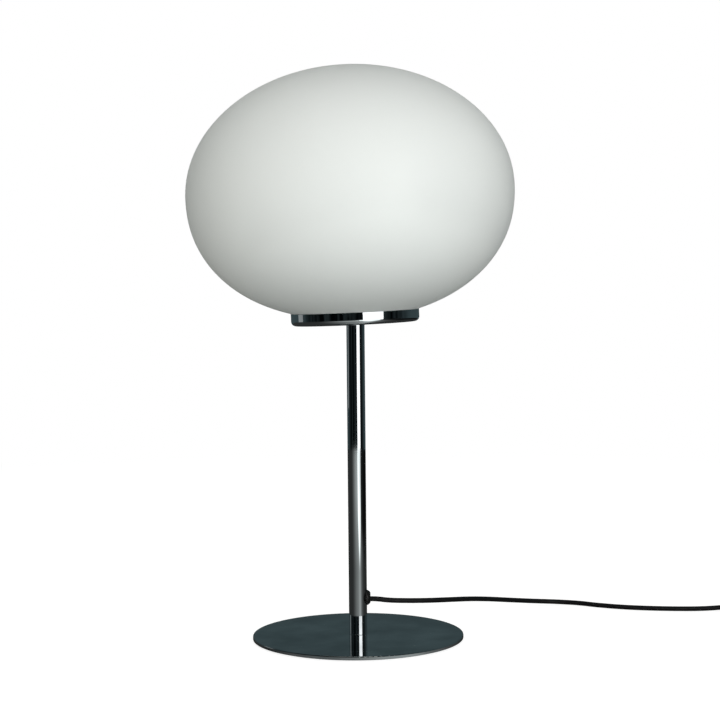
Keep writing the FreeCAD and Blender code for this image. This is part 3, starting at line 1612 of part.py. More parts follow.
def build_plug():
    """A flat two-pin plug, lying on its side with its pins towards -X."""
    entry = LAMP.inside(size("plug_at_x"), size("plug_at_y"), size("plug_thick") / 2, (0, 1, 0), -90)
    build_plug_sleeve(entry)
    back = entry.inside(0, 0, size("sleeve_long"))
    body = new_body("plug")
    sections = [
        (0, size("plug_back_thick") / 2, size("plug_back_wide") / 2),
        (size("plug_long") * 0.45, size("plug_thick") / 2, size("plug_wide") / 2 - size("plug_waist_in")),
        (size("plug_long"), size("plug_thick") / 2, size("plug_wide") / 2),
    ]
    sketches = []
    for number, (height, half_thick, half_wide) in enumerate(sections):
        sketch = new_sketch(body, f"plug_section_{number}", "XY_Plane", height)
        edge = size("plug_round")
        outline = [
            (-half_thick, -half_wide, edge),
            (half_thick, -half_wide, edge),
            (half_thick, half_wide, edge),
            (-half_thick, half_wide, edge),
        ]
        draw(sketch, outline)
        sketches.append(sketch)
    loft = body.newObject("PartDesign::AdditiveLoft", "plug_loft")
    loft.Profile = sketches[0]
    loft.Sections = sketches[1:]
    loft.Ruled = True
    doc.recompute()
    holes = new_sketch(body, "plug_holes", "XY_Plane", size("plug_long"))
    half_apart = size("pin_apart") / 2
    for side in (-1, 1):
        draw_circle(holes, 0, half_apart * side, size("pin_core_dia") / 2)
    pocket(body, holes, size("pin_root"))
    named(place(body, back), "plug_body")

    face = back.inside(0, 0, size("plug_long"))
    pins = []
    sleeves = []
    core = size("pin_core_dia") / 2
    pin = size("pin_dia") / 2
    sleeve = size("pin_sleeve_dia") / 2
    step = size("pin_long") - size("pin_bare")
    for side in (-1, 1):
        frame = face.inside(0, half_apart * side, 0)
        outline = [
            (0, -size("pin_root")),
            (core, -size("pin_root")),
            (core, step),
            (pin, step),
            (pin, size("pin_long"), size("pin_round")),
            (0, size("pin_long")),
        ]
        pins.append(turned(f"pin_{len(pins)}", outline, frame))
        outline = [(core, 0), (sleeve, 0), (sleeve, step), (core, step)]
        sleeves.append(turned(f"pin_sleeve_{len(sleeves)}", outline, frame))
    named(group("pins", pins), "plug_pins")
    named(group("pin_sleeves", sleeves), "plug_pin_sleeves")


def build_plug_sleeve(frame):
    """The tapered bend relief, grooved so that it bends."""
    small = size("sleeve_small_dia") / 2
    big = size("sleeve_big_dia") / 2
    length = size("sleeve_long")
    pitch = (length - size("sleeve_plain")) / SLEEVE_GROOVES
    floor = length - size("sleeve_floor")
    gap = size("sleeve_ring_gap")
    deep = size("sleeve_ring_deep")
    outline = [(cord_radius, 0), (small, 0)]
    for number in range(SLEEVE_GROOVES):
        low = pitch * (number + 0.6)
        high = low + gap
        at_low = small + (big - small) * (low / length)
        at_high = small + (big - small) * (high / length)
        outline.extend([(at_low, low), (at_low - deep, low), (at_high - deep, high), (at_high, high)])
    outline.extend([(big, length), (0, length), (0, floor), (cord_radius, floor)])
    named(turned("bend_relief", outline, frame), "plug_bend_relief")


def build_plug_cord():
    """The end of the cord inside the bend relief."""
    frame = LAMP.inside(size("plug_at_x"), size("plug_at_y"), size("plug_thick") / 2, (0, 1, 0), -90)
    length = size("sleeve_long") - size("sleeve_floor")
    named(cylinder("plug_cord_end", cord_radius, length, frame), "cord_plug_end")


def build_switch_cord():
    """The ends of the cord inside the switch."""
    ends = []
    height = size("switch_high") / 2
    length = size("switch_taper")
    starts = [size("switch_at_x"), size("switch_at_x") + size("switch_long") - length]
    for start in starts:
        frame = LAMP.inside(start, size("switch_at_y"), height, (0, 1, 0), 90)
        ends.append(cylinder(f"cord_end_{len(ends)}", cord_radius, length, frame))
    named(group("switch_cords", ends), "cord_switch_ends")


def build_lamp():
    build_base_pad()
    build_base_plate()
    build_base_screw()
    seat_cutter = build_seat_cutter()
    stem = build_stem_tube(seat_cutter)
    build_stem_foot_plug()
    build_stem_head_plug(seat_cutter)
    build_threaded_nipple()
    build_cord_grommet(stem)
    build_stem_cord()
    build_gallery_cup()
    build_seat_ring()
    build_spring_spider()
    build_lock_washer()
    build_nipple_nut()
    build_holder_cap()
    build_holder_grub_screw()
    build_holder_skirt()
    build_holder_insert()
    build_holder_screw_shell()
    build_holder_centre_contact()
    build_holder_terminal_screws()
    build_conductors()
    build_glass_globe()
    build_bulb()
    build_cord_run()
    build_switch()
    build_switch_cord()
    build_cord_link()
    build_cord_coil()
    build_coil_tie()
    build_cord_tail()
    build_plug()
    build_plug_cord()


def check_and_export():
    """Refuse a failed object or an invalid shape, then write one file per node."""
    doc.recompute()
    for item in doc.Objects:
        if "Invalid" in item.State or "Error" in item.State:
            raise RuntimeError(f"{item.Name} failed: {item.State}")
    for label, item in nodes.items():
        if item.Shape.isNull() or not item.Shape.isValid():
            raise RuntimeError(f"{label} has no valid shape")
        if not item.Shape.Solids:
            raise RuntimeError(f"{label} has no solid")
    os.makedirs("parts", exist_ok=True)
    for label, item in nodes.items():
        item.Shape.exportStep(f"parts/{label}.step")
    print(f"{len(nodes)} nodes written")


build_lamp()
check_and_export()
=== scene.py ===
"""Looks for the globe table lamp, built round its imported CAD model.

Everything is in metres, in the CAD model's frame: +Z up, +X towards the side where the cord
leaves the stem, +Y away from the viewer. The head (cup, glass, lampholder and bulb) leans a
little towards -X and has a frame of its own.
"""
from __future__ import annotations

import functools
import logging
import math
from dataclasses import dataclass
from enum import Enum

import bmesh
import bpy
from mathutils import Matrix, Vector

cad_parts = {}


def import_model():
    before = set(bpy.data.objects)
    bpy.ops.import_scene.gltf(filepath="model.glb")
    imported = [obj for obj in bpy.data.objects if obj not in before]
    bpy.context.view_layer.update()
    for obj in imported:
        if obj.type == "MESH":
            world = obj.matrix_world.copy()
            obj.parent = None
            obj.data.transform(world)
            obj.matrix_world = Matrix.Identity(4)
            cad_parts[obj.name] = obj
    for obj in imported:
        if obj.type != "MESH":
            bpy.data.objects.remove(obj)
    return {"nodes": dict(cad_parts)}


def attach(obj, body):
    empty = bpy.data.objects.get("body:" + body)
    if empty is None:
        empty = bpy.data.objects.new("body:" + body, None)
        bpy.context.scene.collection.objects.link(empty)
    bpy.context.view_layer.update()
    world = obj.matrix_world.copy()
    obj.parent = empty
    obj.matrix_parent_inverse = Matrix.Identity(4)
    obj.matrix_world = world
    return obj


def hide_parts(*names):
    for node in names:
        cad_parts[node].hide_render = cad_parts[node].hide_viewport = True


LOG = logging.getLogger("globe_lamp")

IMAGE_SIZE = 720
SENSOR_MM = 36.0

FULL_TURN = 2 * math.pi
AXIS_FOOT = (0, 0, 0)
UPWARDS = (0, 0, 1)
SAME_PLACE = 1e-6
SAME_HEIGHT = 1e-5
FINE_RELIEF = 0.0001
LAMP_MIDDLE = (0, 0, 0.36)

Colour = tuple[float, float, float, float]
Triple = tuple[float, float, float]
Nodes = dict[str, bpy.types.Object]


def rgb(red: float, green: float, blue: float) -> Colour:
    """An opaque colour for a shader socket."""
    return (red, green, blue, 1.0)


class Body(Enum):
    """The CAD bodies that new pieces ride on."""

    LAMP = "lamp"
    GLOBE = "globe"
    BULB = "bulb"


# Shader graphs


class Value:
    """A socket of a shader graph that takes part in sums as a number would."""

    def __init__(self, graph: Graph, socket: bpy.types.NodeSocket) -> None:
        """Hold the socket and the graph that it belongs to."""
        self.graph = graph
        self.socket = socket

    def combine(self, operation: str, first: Feed, second: Feed) -> Value:
        """One Math node.

        Args:
            operation: the node's operation.
            first: its first input.
            second: its second input.

        Returns:
            The node's result.
        """
        return self.graph.node("ShaderNodeMath", {"operation": operation}, {0: first, 1: second})

    def __add__(self, other: Feed) -> Value:
        """The sum."""
        return self.combine("ADD", self, other)

    def __radd__(self, other: Feed) -> Value:
        """The sum, with a number in front."""
        return self.combine("ADD", other, self)

    def __sub__(self, other: Feed) -> Value:
        """The difference."""
        return self.combine("SUBTRACT", self, other)

    def __mul__(self, other: Feed) -> Value:
        """The product."""
        return self.combine("MULTIPLY", self, other)

    def __rmul__(self, other: Feed) -> Value:
        """The product, with a number in front."""
        return self.combine("MULTIPLY", other, self)

    def __pow__(self, other: Feed) -> Value:
        """The power."""
        return self.combine("POWER", self, other)

    def between(self, low: float, high: float, start: float = 0.0, finish: float = 1.0) -> Value:
        """Map the value from low..high to start..finish, held at both ends.

        Args:
            low: the value that gives start.
            high: the value that gives finish.
            start: the result at low and below.
            finish: the result at high and above.

        Returns:
            The mapped value.
        """
        return self.graph.node(
            "ShaderNodeMapRange", {}, {0: self, 1: low, 2: high, 3: start, 4: finish}
        )


Feed = float | tuple | Value


class Graph:
    """The node tree of one material or world."""

    def __init__(self, owner: bpy.types.Material | bpy.types.World) -> None:
        """Empty the owner's tree and give it an output.

        Args:
            owner: the material or world.
        """
        owner.use_nodes = True
        self.tree = owner.node_tree
        self.tree.nodes.clear()
        kind = "World" if isinstance(owner, bpy.types.World) else "Material"
        self.output = self.tree.nodes.new(f"ShaderNodeOutput{kind}")

    def node(self, kind: str, settings: dict[str, object], feeds: dict[int | str, Feed],
             output: int | str = 0) -> Value:
        """Add a node.

        Args:
            kind: the node's type.
            settings: its properties by name, set first.
            feeds: numbers, colours or links for its sockets.
            output: which output to hand back.

        Returns:
            The chosen output.
        """
        made = self.tree.nodes.new(kind)
        for name, setting in settings.items():
            setattr(made, name, setting)
        for slot, feed in feeds.items():
            if isinstance(feed, Value):
                self.tree.links.new(feed.socket, made.inputs[slot])
            else:
                made.inputs[slot].default_value = feed
        return Value(self, made.outputs[output])

    def finish(self, shader: Value) -> None:
        """Link the last shader to the output."""
        self.tree.links.new(shader.socket, self.output.inputs[0])

    def place(self) -> Value:
        """The place on the piece, in the frame that all pieces share."""
        return self.node("ShaderNodeTexCoord", {}, {}, "Object")

    def noise(self, scale: float, detail: float = 3.0, stretch: Triple | None = None) -> Value:
        """A noise value from 0 to 1 on the piece's own coordinates.

        Args:
            scale: how fine the noise is, per metre.
            detail: octaves.
            stretch: a factor on the scale along each axis.

        Returns:
            The noise value.
        """
        at = self.place()
        if stretch is not None:
            at = self.node("ShaderNodeMapping", {}, {"Vector": at, "Scale": stretch})
        return self.node(
            "ShaderNodeTexNoise", {}, {"Vector": at, "Scale": scale, "Detail": detail}, "Fac"
        )

    def blend(self, factor: Value, first: Colour | Value, second: Colour | Value) -> Value:
        """A colour between two colours.

        Args:
            factor: 0 gives the first colour and 1 the second.
            first: the first colour.
            second: the second colour.

        Returns:
            The blended colour.
        """
        return self.node(
            "ShaderNodeMix", {"data_type": "RGBA"}, {0: factor, 6: first, 7: second}, 2
        )

    def bump(self, height: Value, strength: float, distance: float,
             under: Value | None = None) -> Value:
        """A normal bent by a height.

        Args:
            height: the height, from 0 to 1.
            strength: how strongly it counts.
            distance: the depth of a full step, in metres.
            under: a bump that this one lies on.

        Returns:
            The bent normal.
        """
        feeds = {"Height": height, "Strength": strength, "Distance": distance}
        if under is not None:
            feeds["Normal"] = under
        return self.node("ShaderNodeBump", {}, feeds)


# Finishes


@dataclass(frozen=True)
class Finish:
    """A finish by its name; each kind says how it is shaded."""

    label: str

    def shade(self, graph: Graph) -> Value:
        """Build the shader and hand it back."""
        raise NotImplementedError(self.label)


@functools.cache
def material_of(finish: Finish) -> bpy.types.Material:
    """The material of a finish, made on first use.

    Args:
        finish: the finish.

    Returns:
        Its material, one for all the pieces that have it.
    """
    material = bpy.data.materials.new(finish.label)
    graph = Graph(material)
    graph.finish(finish.shade(graph))
    return material


@dataclass(frozen=True)
class Plating(Finish):
    """Polished chrome with long waves of the metal under it and a breath of haze."""

    wave_scale: float = 9.0
    wave_stretch: Triple = (1.0, 1.0, 1.0)
    wave_deep: float = 0.0012
    wave_strength: float = 0.08
    dark: Colour = rgb(0.60, 0.62, 0.63)
    light: Colour = rgb(0.65, 0.67, 0.68)
    hair_stretch: Triple = (80.0, 80.0, 900.0)
    clear: float = 0.02
    hazy: float = 0.065

    def shade(self, graph: Graph) -> Value:
        """Metal with a slightly uneven mirror.

        Args:
            graph: the material's graph.

        Returns:
            The shader.
        """
        cloud = graph.noise(24.0, 5.0)
        waves = graph.bump(
            graph.noise(self.wave_scale, 1.0, self.wave_stretch), self.wave_strength, self.wave_deep
        )
        hairs = graph.bump(graph.noise(1.0, 5.0, self.hair_stretch), 0.015, FINE_RELIEF, waves)
        feeds = {
            "Base Color": graph.blend(cloud.between(0.35, 0.7), self.dark, self.light),
            "Metallic": 1.0,
            "Roughness": cloud.between(0.35, 0.75, self.clear, self.hazy),
            "Normal": hairs,
        }
        return graph.node("ShaderNodeBsdfPrincipled", {}, feeds)


@dataclass(frozen=True)
class Metal(Finish):
    """Plain or plated metal with its marks of making."""

    dark: Colour
    light: Colour
    grain: float = 240.0
    stretch: Triple = (1.0, 1.0, 1.0)
    smooth: float = 0.2
    rough: float = 0.38
    deep: float = 0.1

    def shade(self, graph: Graph) -> Value:
        """Metal whose marks change its tone, gloss and height.

        Args:
            graph: the material's graph.

        Returns:
            The shader.
        """
        marks = graph.noise(self.grain, 4.0, self.stretch)
        feeds = {
            "Base Color": graph.blend(marks, self.dark, self.light),
            "Metallic": 1.0,
            "Roughness": marks.between(0.3, 0.7, self.smooth, self.rough),
            "Normal": graph.bump(marks, self.deep, FINE_RELIEF),
        }
        return graph.node("ShaderNodeBsdfPrincipled", {}, feeds)


@dataclass(frozen=True)
class Moulding(Finish):
    """Plastic, rubber or ceramic with a fine skin."""

    dark: Colour
    light: Colour
    smooth: float = 0.36
    rough: float = 0.48
    grain: float = 900.0
    deep: float = 0.12
    milky: float = 0.0
    milky_deep: float = 0.004

    def shade(self, graph: Graph) -> Value:
        """A dielectric with a little light under its skin where it is milky.

        Args:
            graph: the material's graph.

        Returns:
            The shader.
        """
        cloud = graph.noise(90.0, 3.0)
        feeds = {
            "Base Color": graph.blend(cloud, self.dark, self.light),
            "Roughness": cloud.between(0.3, 0.7, self.smooth, self.rough),
            "Normal": graph.bump(graph.noise(self.grain, 2.0), self.deep, FINE_RELIEF),
        }
        if self.milky:
            feeds["Subsurface Weight"] = self.milky
            feeds["Subsurface Radius"] = (1.0, 1.0, 1.0)
            feeds["Subsurface Scale"] = self.milky_deep
        return graph.node("ShaderNodeBsdfPrincipled", {}, feeds)


@dataclass(frozen=True)
class Opal(Finish):
    """Satin opal glass: milky, with an acid-matt grain."""

    dark: Colour = rgb(0.79, 0.815, 0.795)
    light: Colour = rgb(0.83, 0.855, 0.84)
    refraction: float = 1.5
    milky: float = 0.3
    milky_deep: float = 0.006

    def shade(self, graph: Graph) -> Value:
        """A milky dielectric with a soft sheen.

        Args:
            graph: the material's graph.

        Returns:
            The shader.
        """
        cloud = graph.noise(5.0, 2.0)
        pull = graph.bump(graph.noise(7.0, 1.0), 0.05, 0.002)
        frost = graph.bump(graph.noise(1600.0, 2.0), 0.1, 0.0002, pull)
        feeds = {
            "Base Color": graph.blend(cloud, self.dark, self.light),
            "Roughness": graph.noise(12.0, 3.0).between(0.3, 0.7, 0.44, 0.52),
            "IOR": self.refraction,
            "Subsurface Weight": self.milky,
            "Subsurface Radius": (1.0, 1.0, 1.0),
            "Subsurface Scale": self.milky_deep,
            "Normal": frost,
        }
        return graph.node("ShaderNodeBsdfPrincipled", {}, feeds)


@dataclass(frozen=True)
class Felt(Finish):
    """Pressed felt, or the loops of a hook and loop strip."""

    dark: Colour = rgb(0.012, 0.012, 0.012)
    light: Colour = rgb(0.055, 0.055, 0.055)
    fibre: float = 700.0

    def shade(self, graph: Graph) -> Value:
        """A dry, fibrous surface.

        Args:
            graph: the material's graph.

        Returns:
            The shader.
        """
        fibres = graph.noise(self.fibre, 6.0)
        feeds = {
            "Base Color": graph.blend(fibres.between(0.3, 0.7), self.dark, self.light),
            "Roughness": 0.95,
            "Sheen Weight": 0.4,
            "Normal": graph.bump(fibres, 0.7, 0.0003),
        }
        return graph.node("ShaderNodeBsdfPrincipled", {}, feeds)


STEM_CHROME = Plating("stem_chrome")
CUP_CHROME = Plating(
    "cup_chrome", wave_scale=1.0, wave_stretch=(28.0, 28.0, 90.0), wave_strength=0.22
)
PLATE_CHROME = Plating(
    "plate_chrome", wave_scale=6.0, wave_strength=0.03,
    dark=rgb(0.42, 0.45, 0.46), light=rgb(0.76, 0.78, 0.79), hazy=0.09,
)
OPAL = Opal("opal_glass")
FELT = Felt("felt_pad")
TIE = Felt(
    "hook_and_loop", dark=rgb(0.006, 0.006, 0.006), light=rgb(0.035, 0.035, 0.035), fibre=2600.0,
)
ZINC = Metal("zinc_plate", rgb(0.55, 0.55, 0.50), rgb(0.70, 0.70, 0.70))
TURNED = Metal(
    "turned_steel", rgb(0.46, 0.46, 0.47), rgb(0.56, 0.56, 0.57),
    grain=1.0, stretch=(20.0, 20.0, 5200.0), smooth=0.25, rough=0.42, deep=0.25,
)
SPRING = Metal(
    "spring_steel", rgb(0.60, 0.59, 0.57), rgb(0.68, 0.64, 0.57),
    grain=120.0, stretch=(7.0, 1.0, 1.0),
)
BRASS = Metal("brass", rgb(0.52, 0.37, 0.15), rgb(0.80, 0.62, 0.30), grain=110.0)
NICKEL = Metal(
    "nickel_pins", rgb(0.66, 0.63, 0.57), rgb(0.76, 0.73, 0.67),
    grain=60.0, stretch=(1.0, 36.0, 36.0), smooth=0.14, rough=0.3,
)
ALUMINIUM = Metal(
    "drawn_aluminium", rgb(0.68, 0.68, 0.69), rgb(0.78, 0.78, 0.79),
    grain=120.0, stretch=(4.0, 4.0, 1.0),
)
SHEATH = Moulding(
    "cord_sheath", rgb(0.0015, 0.0015, 0.0015), rgb(0.004, 0.004, 0.0045),
    smooth=0.6, rough=0.7,
)
GROMMET = Moulding(
    "grommet_black", rgb(0.006, 0.006, 0.006), rgb(0.012, 0.012, 0.012),
    smooth=0.2, rough=0.32, deep=0.06,
)
BLACK = Moulding(
    "black_moulding", rgb(0.008, 0.008, 0.008), rgb(0.017, 0.017, 0.018),
    grain=1400.0, deep=0.25,
)
SILICONE = Moulding(
    "silicone", rgb(0.60, 0.61, 0.59), rgb(0.70, 0.71, 0.69),
    smooth=0.45, rough=0.55, grain=500.0, deep=0.1, milky=0.3, milky_deep=0.003,
)
CERAMIC = Moulding(
    "steatite", rgb(0.55, 0.52, 0.46), rgb(0.72, 0.69, 0.62), smooth=0.5, rough=0.6,
)
CAP_GLASS = Moulding(
    "black_cap_glass", rgb(0.01, 0.01, 0.014), rgb(0.03, 0.03, 0.035),
    smooth=0.1, rough=0.16, grain=150.0,
)
DIFFUSER = Moulding(
    "bulb_diffuser", rgb(0.80, 0.80, 0.77), rgb(0.86, 0.86, 0.83),
    smooth=0.36, rough=0.44, grain=1500.0, deep=0.05, milky=0.4,
)
HOUSING = Moulding(
    "bulb_white", rgb(0.72, 0.72, 0.70), rgb(0.78, 0.78, 0.76), smooth=0.3, rough=0.37,
)
WIRE_BROWN = Moulding("brown_insulation", rgb(0.07, 0.025, 0.01), rgb(0.12, 0.05, 0.02))
WIRE_BLUE = Moulding("blue_insulation", rgb(0.01, 0.05, 0.22), rgb(0.02, 0.08, 0.32))


# Helpers for pieces


def dress(nodes: Nodes, finish: Finish, *names: str) -> None:
    """Give CAD nodes a finish.

    Args:
        nodes: the CAD nodes by name.
        finish: the finish.
        names: the nodes that take it.
    """
    for name in names:
        nodes[name].data.materials.clear()
        nodes[name].data.materials.append(material_of(finish))


def to_scene(name: str, data: bpy.types.ID) -> bpy.types.Object:
    """Link an object with the given data, at the origin, to the scene.

    Args:
        name: the object's name.
        data: its mesh, curve, camera or light.

    Returns:
        The object.
    """
    made = bpy.data.objects.new(name, data)
    bpy.context.scene.collection.objects.link(made)
    return made


def mesh_piece(name: str, form: bmesh.types.BMesh, frame: Matrix | None = None) -> bpy.types.Object:
    """Turn a bmesh into a smooth mesh object.

    Args:
        name: the piece's name.
        form: the bmesh, which is freed.
        frame: where its own frame stands.

    Returns:
        The object.
    """
    if frame is not None:
        bmesh.ops.transform(form, matrix=frame, verts=form.verts)
    for face in form.faces:
        face.smooth = True
    mesh = bpy.data.meshes.new(name)
    form.to_mesh(mesh)
    form.free()
    return to_scene(name, mesh)


def full_turn(form: bmesh.types.BMesh, line: list[bmesh.types.BMVert | bmesh.types.BMEdge],
              steps: int) -> None:
    """Turn a line once round the upright axis, its seam and its poles closed.

    Args:
        form: the bmesh.
        line: the vertices and edges that are turned.
        steps: how many steps one turn takes.
    """
    bmesh.ops.spin(
        form, geom=line, cent=AXIS_FOOT, axis=UPWARDS, angle=FULL_TURN, steps=steps,
        use_merge=True, use_duplicate=False,
    )
    bmesh.ops.remove_doubles(form, verts=form.verts, dist=SAME_PLACE)


# Threads


@dataclass(frozen=True)
class Thread:
    """A rounded screw thread about the head's axis.

    Attributes:
        pitch: rise of one turn.
        deep: from crest to root.
        crest: radius at the crests.
        low: height of its lower end.
        high: height of its upper end.
        fade: length over which it runs out at each end.
        rows: divisions of one pitch's profile.
        steps: steps of one turn.
    """

    pitch: float
    deep: float
    crest: float
    low: float
    high: float
    fade: float
    rows: int = 12
    steps: int = 48

    def surface(self) -> bmesh.types.BMesh:
        """Screw one turn's profile up the axis and trim it flat at both ends.

        Returns:
            The open threaded surface.
        """
        form = bmesh.new()
        start = (math.floor(self.low / self.pitch) - 1) * self.pitch
        profile = []
        for row in range(self.rows + 1):
            share = row / self.rows
            dip = self.deep * (0.5 - 0.5 * math.cos(FULL_TURN * share))
            profile.append(form.verts.new((self.crest - dip, 0, start + self.pitch * share)))
        edges = [form.edges.new(pair) for pair in zip(profile, profile[1:])]
        turns = math.ceil((self.high - start) / self.pitch) + 1
        bmesh.ops.spin(
            form, geom=profile + edges, cent=AXIS_FOOT, axis=UPWARDS,
            dvec=(0, 0, self.pitch / self.steps), angle=FULL_TURN * turns,
            steps=self.steps * turns, use_merge=False, use_duplicate=False,
        )
        bmesh.ops.remove_doubles(form, verts=form.verts, dist=SAME_PLACE)
        for height, way in ((self.low, -1), (self.high, 1)):
            whole = form.verts[:] + form.edges[:] + form.faces[:]
            bmesh.ops.bisect_plane(
                form, geom=whole, dist=1e-7, plane_co=(0, 0, height), plane_no=(0, 0, way),
                clear_outer=True,
            )
        self.run_out(form)
        return form

    def run_out(self, form: bmesh.types.BMesh) -> None:
        """Let the thread rise to its crest towards both ends.

        Args:
            form: the threaded surface.
        """
        for vert in form.verts:
            reach = math.hypot(vert.co.x, vert.co.y)
            from_end = min(vert.co.z - self.low, self.high - vert.co.z)
            share = min(1.0, max(0.0, from_end / self.fade))
            wanted = self.crest - (self.crest - reach) * share
            vert.co.x *= wanted / reach
            vert.co.y *= wanted / reach


def rim(form: bmesh.types.BMesh, height: float) -> list[bmesh.types.BMEdge]:
    """The open edges that lie at a height."""
    return [
        edge
        for edge in form.edges
        if edge.is_boundary and all(abs(vert.co.z - height) < SAME_HEIGHT for vert in edge.verts)
    ]


def draw_rim(form: bmesh.types.BMesh, height: float, radius: float,
             new_height: float) -> list[bmesh.types.BMEdge]:
    """Extrude the open edges at a height to another radius and height.

    Args:
        form: the bmesh.
        height: where the open edges lie.
        radius: the radius of the new edges.
        new_height: the height of the new edges.

    Returns:
        The new open edges.
    """
    made = bmesh.ops.extrude_edge_only(form, edges=rim(form, height))["geom"]
    for vert in (item for item in made if isinstance(item, bmesh.types.BMVert)):
        reach = math.hypot(vert.co.x, vert.co.y)
        vert.co = (vert.co.x * radius / reach, vert.co.y * radius / reach, new_height)
    return [item for item in made if isinstance(item, bmesh.types.BMEdge) and item.is_boundary]


# The lamp's sub-assemblies


@dataclass
class Base:
    """The round foot: felt, chrome plate and the screw that holds the stem."""

    nodes: Nodes

    def build(self) -> None:
        """Dress the base."""
        dress(self.nodes, FELT, "base_pad")
        dress(self.nodes, PLATE_CHROME, "base_plate")
        dress(self.nodes, ZINC, "base_screw")
        LOG.info("base: pad, plate and screw")


@dataclass
class Stem:
    """The chrome tube, its plugs, the cord's grommet and the cord inside.

    Attributes:
        radius: radius of the tube.
        foot: height of the plate that it stands on.
        bead: half the thickness of the bead round its foot.
    """

    nodes: Nodes
    radius: float = 0.00775
    foot: float = 0.0038
    bead: float = 0.00022

    def bead_at_the_foot(self) -> None:
        """Make the fine bright bead where the tube meets the plate."""
        form = bmesh.new()
        upright = Matrix.Rotation(math.pi / 2, 4, "X")
        bmesh.ops.create_circle(
            form, segments=10, radius=self.bead,
            matrix=Matrix.Translation((self.radius, 0, 0)) @ upright,
        )
        full_turn(form, form.verts[:] + form.edges[:], 64)
        bmesh.ops.recalc_face_normals(form, faces=form.faces)
        on_plate = Matrix.Translation((0, 0, self.foot + self.bead))
        ring = mesh_piece("stem_foot_bead", form, on_plate)
        ring.data.materials.append(material_of(STEM_CHROME))
        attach(ring, Body.LAMP.value)

    def build(self) -> None:
        """Dress the stem and bead its foot."""
        self.bead_at_the_foot()
        dress(self.nodes, STEM_CHROME, "stem_tube")
        dress(self.nodes, TURNED, "stem_foot_plug", "stem_head_plug")
        dress(self.nodes, GROMMET, "cord_grommet")
        dress(self.nodes, SHEATH, "stem_cord")
        LOG.info("stem: tube, foot bead, plugs, grommet and inner cord")


@dataclass
class Head:
    """The cup and what clamps it, on a frame that leans."""

    nodes: Nodes
    height: float = 0.2693
    lean: float = math.radians(2.1)
    tube_bore: float = 0.0035
    tube_thread: Thread = Thread(
        pitch=0.001, deep=0.0006, crest=0.005, low=-0.015, high=0.0125, fade=0.0008,
        rows=6, steps=36,
    )

    @property
    def frame(self) -> Matrix:
        """The head's own frame, on the stem's top."""
        return Matrix.Translation((0, 0, self.height)) @ Matrix.Rotation(-self.lean, 4, "Y")

    def build(self) -> None:
        """Dress the cup and its springs, and thread the clamping tube."""
        dress(self.nodes, CUP_CHROME, "gallery_cup")
        dress(self.nodes, SILICONE, "seat_ring")
        dress(self.nodes, SPRING, "spring_spider")
        dress(self.nodes, ZINC, "lock_washer", "nipple_nut", "threaded_nipple")
        thread = self.tube_thread
        form = thread.surface()
        ends = [
            draw_rim(form, height, self.tube_bore, height) for height in (thread.low, thread.high)
        ]
        bmesh.ops.bridge_loops(form, edges=ends[0] + ends[1])
        bmesh.ops.recalc_face_normals(form, faces=form.faces)
        tube = mesh_piece("nipple_threaded", form, self.frame)
        tube.data.materials.append(material_of(ZINC))
        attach(tube, Body.LAMP.value)
        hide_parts("threaded_nipple")
        LOG.info("head: cup, ring, springs, washer, nut and threaded tube")


@dataclass
class Lampholder:
    """The holder for the bulb: moulded shell, contact block and screw shell."""

    nodes: Nodes
    frame: Matrix
    sheet: float = 0.00035
    thread: Thread = Thread(
        pitch=0.00362, deep=0.0008, crest=0.0139, low=0.0316, high=0.0526, fade=0.0022,
    )

    def build(self) -> None:
        """Dress the holder and thread its metal shell."""
        dress(self.nodes, BLACK, "holder_cap", "holder_skirt")
        dress(self.nodes, ZINC, "holder_grub_screw")
        dress(self.nodes, CERAMIC, "holder_contact_block")
        dress(
            self.nodes, BRASS, "holder_screw_shell", "holder_centre_contact",
            "holder_terminal_screws",
        )
        dress(self.nodes, WIRE_BROWN, "conductor_live")
        dress(self.nodes, WIRE_BLUE, "conductor_neutral")
        form = self.thread.surface()
        bmesh.ops.recalc_face_normals(form, faces=form.faces)
        thin_wall(form, self.sheet)
        shell = mesh_piece("screw_shell_threaded", form, self.frame)
        shell.data.materials.append(material_of(BRASS))
        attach(shell, Body.LAMP.value)
        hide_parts("holder_screw_shell")
        LOG.info("lampholder: cap, skirt, block, contacts, wires and threaded shell")


def thin_wall(form: bmesh.types.BMesh, sheet: float) -> None:
    """Give an open turned surface a wall on its inner side.

    Args:
        form: the surface, its faces outwards.
        sheet: the wall's thickness.
    """
    level = Vector((1, 1, 0))
    outward = sum(face.normal.dot(face.calc_center_median() * level) for face in form.faces)
    if outward < 0:
        bmesh.ops.reverse_faces(form, faces=form.faces)
    bmesh.ops.solidify(form, geom=form.faces, thickness=sheet)
    bmesh.ops.recalc_face_normals(form, faces=form.faces)


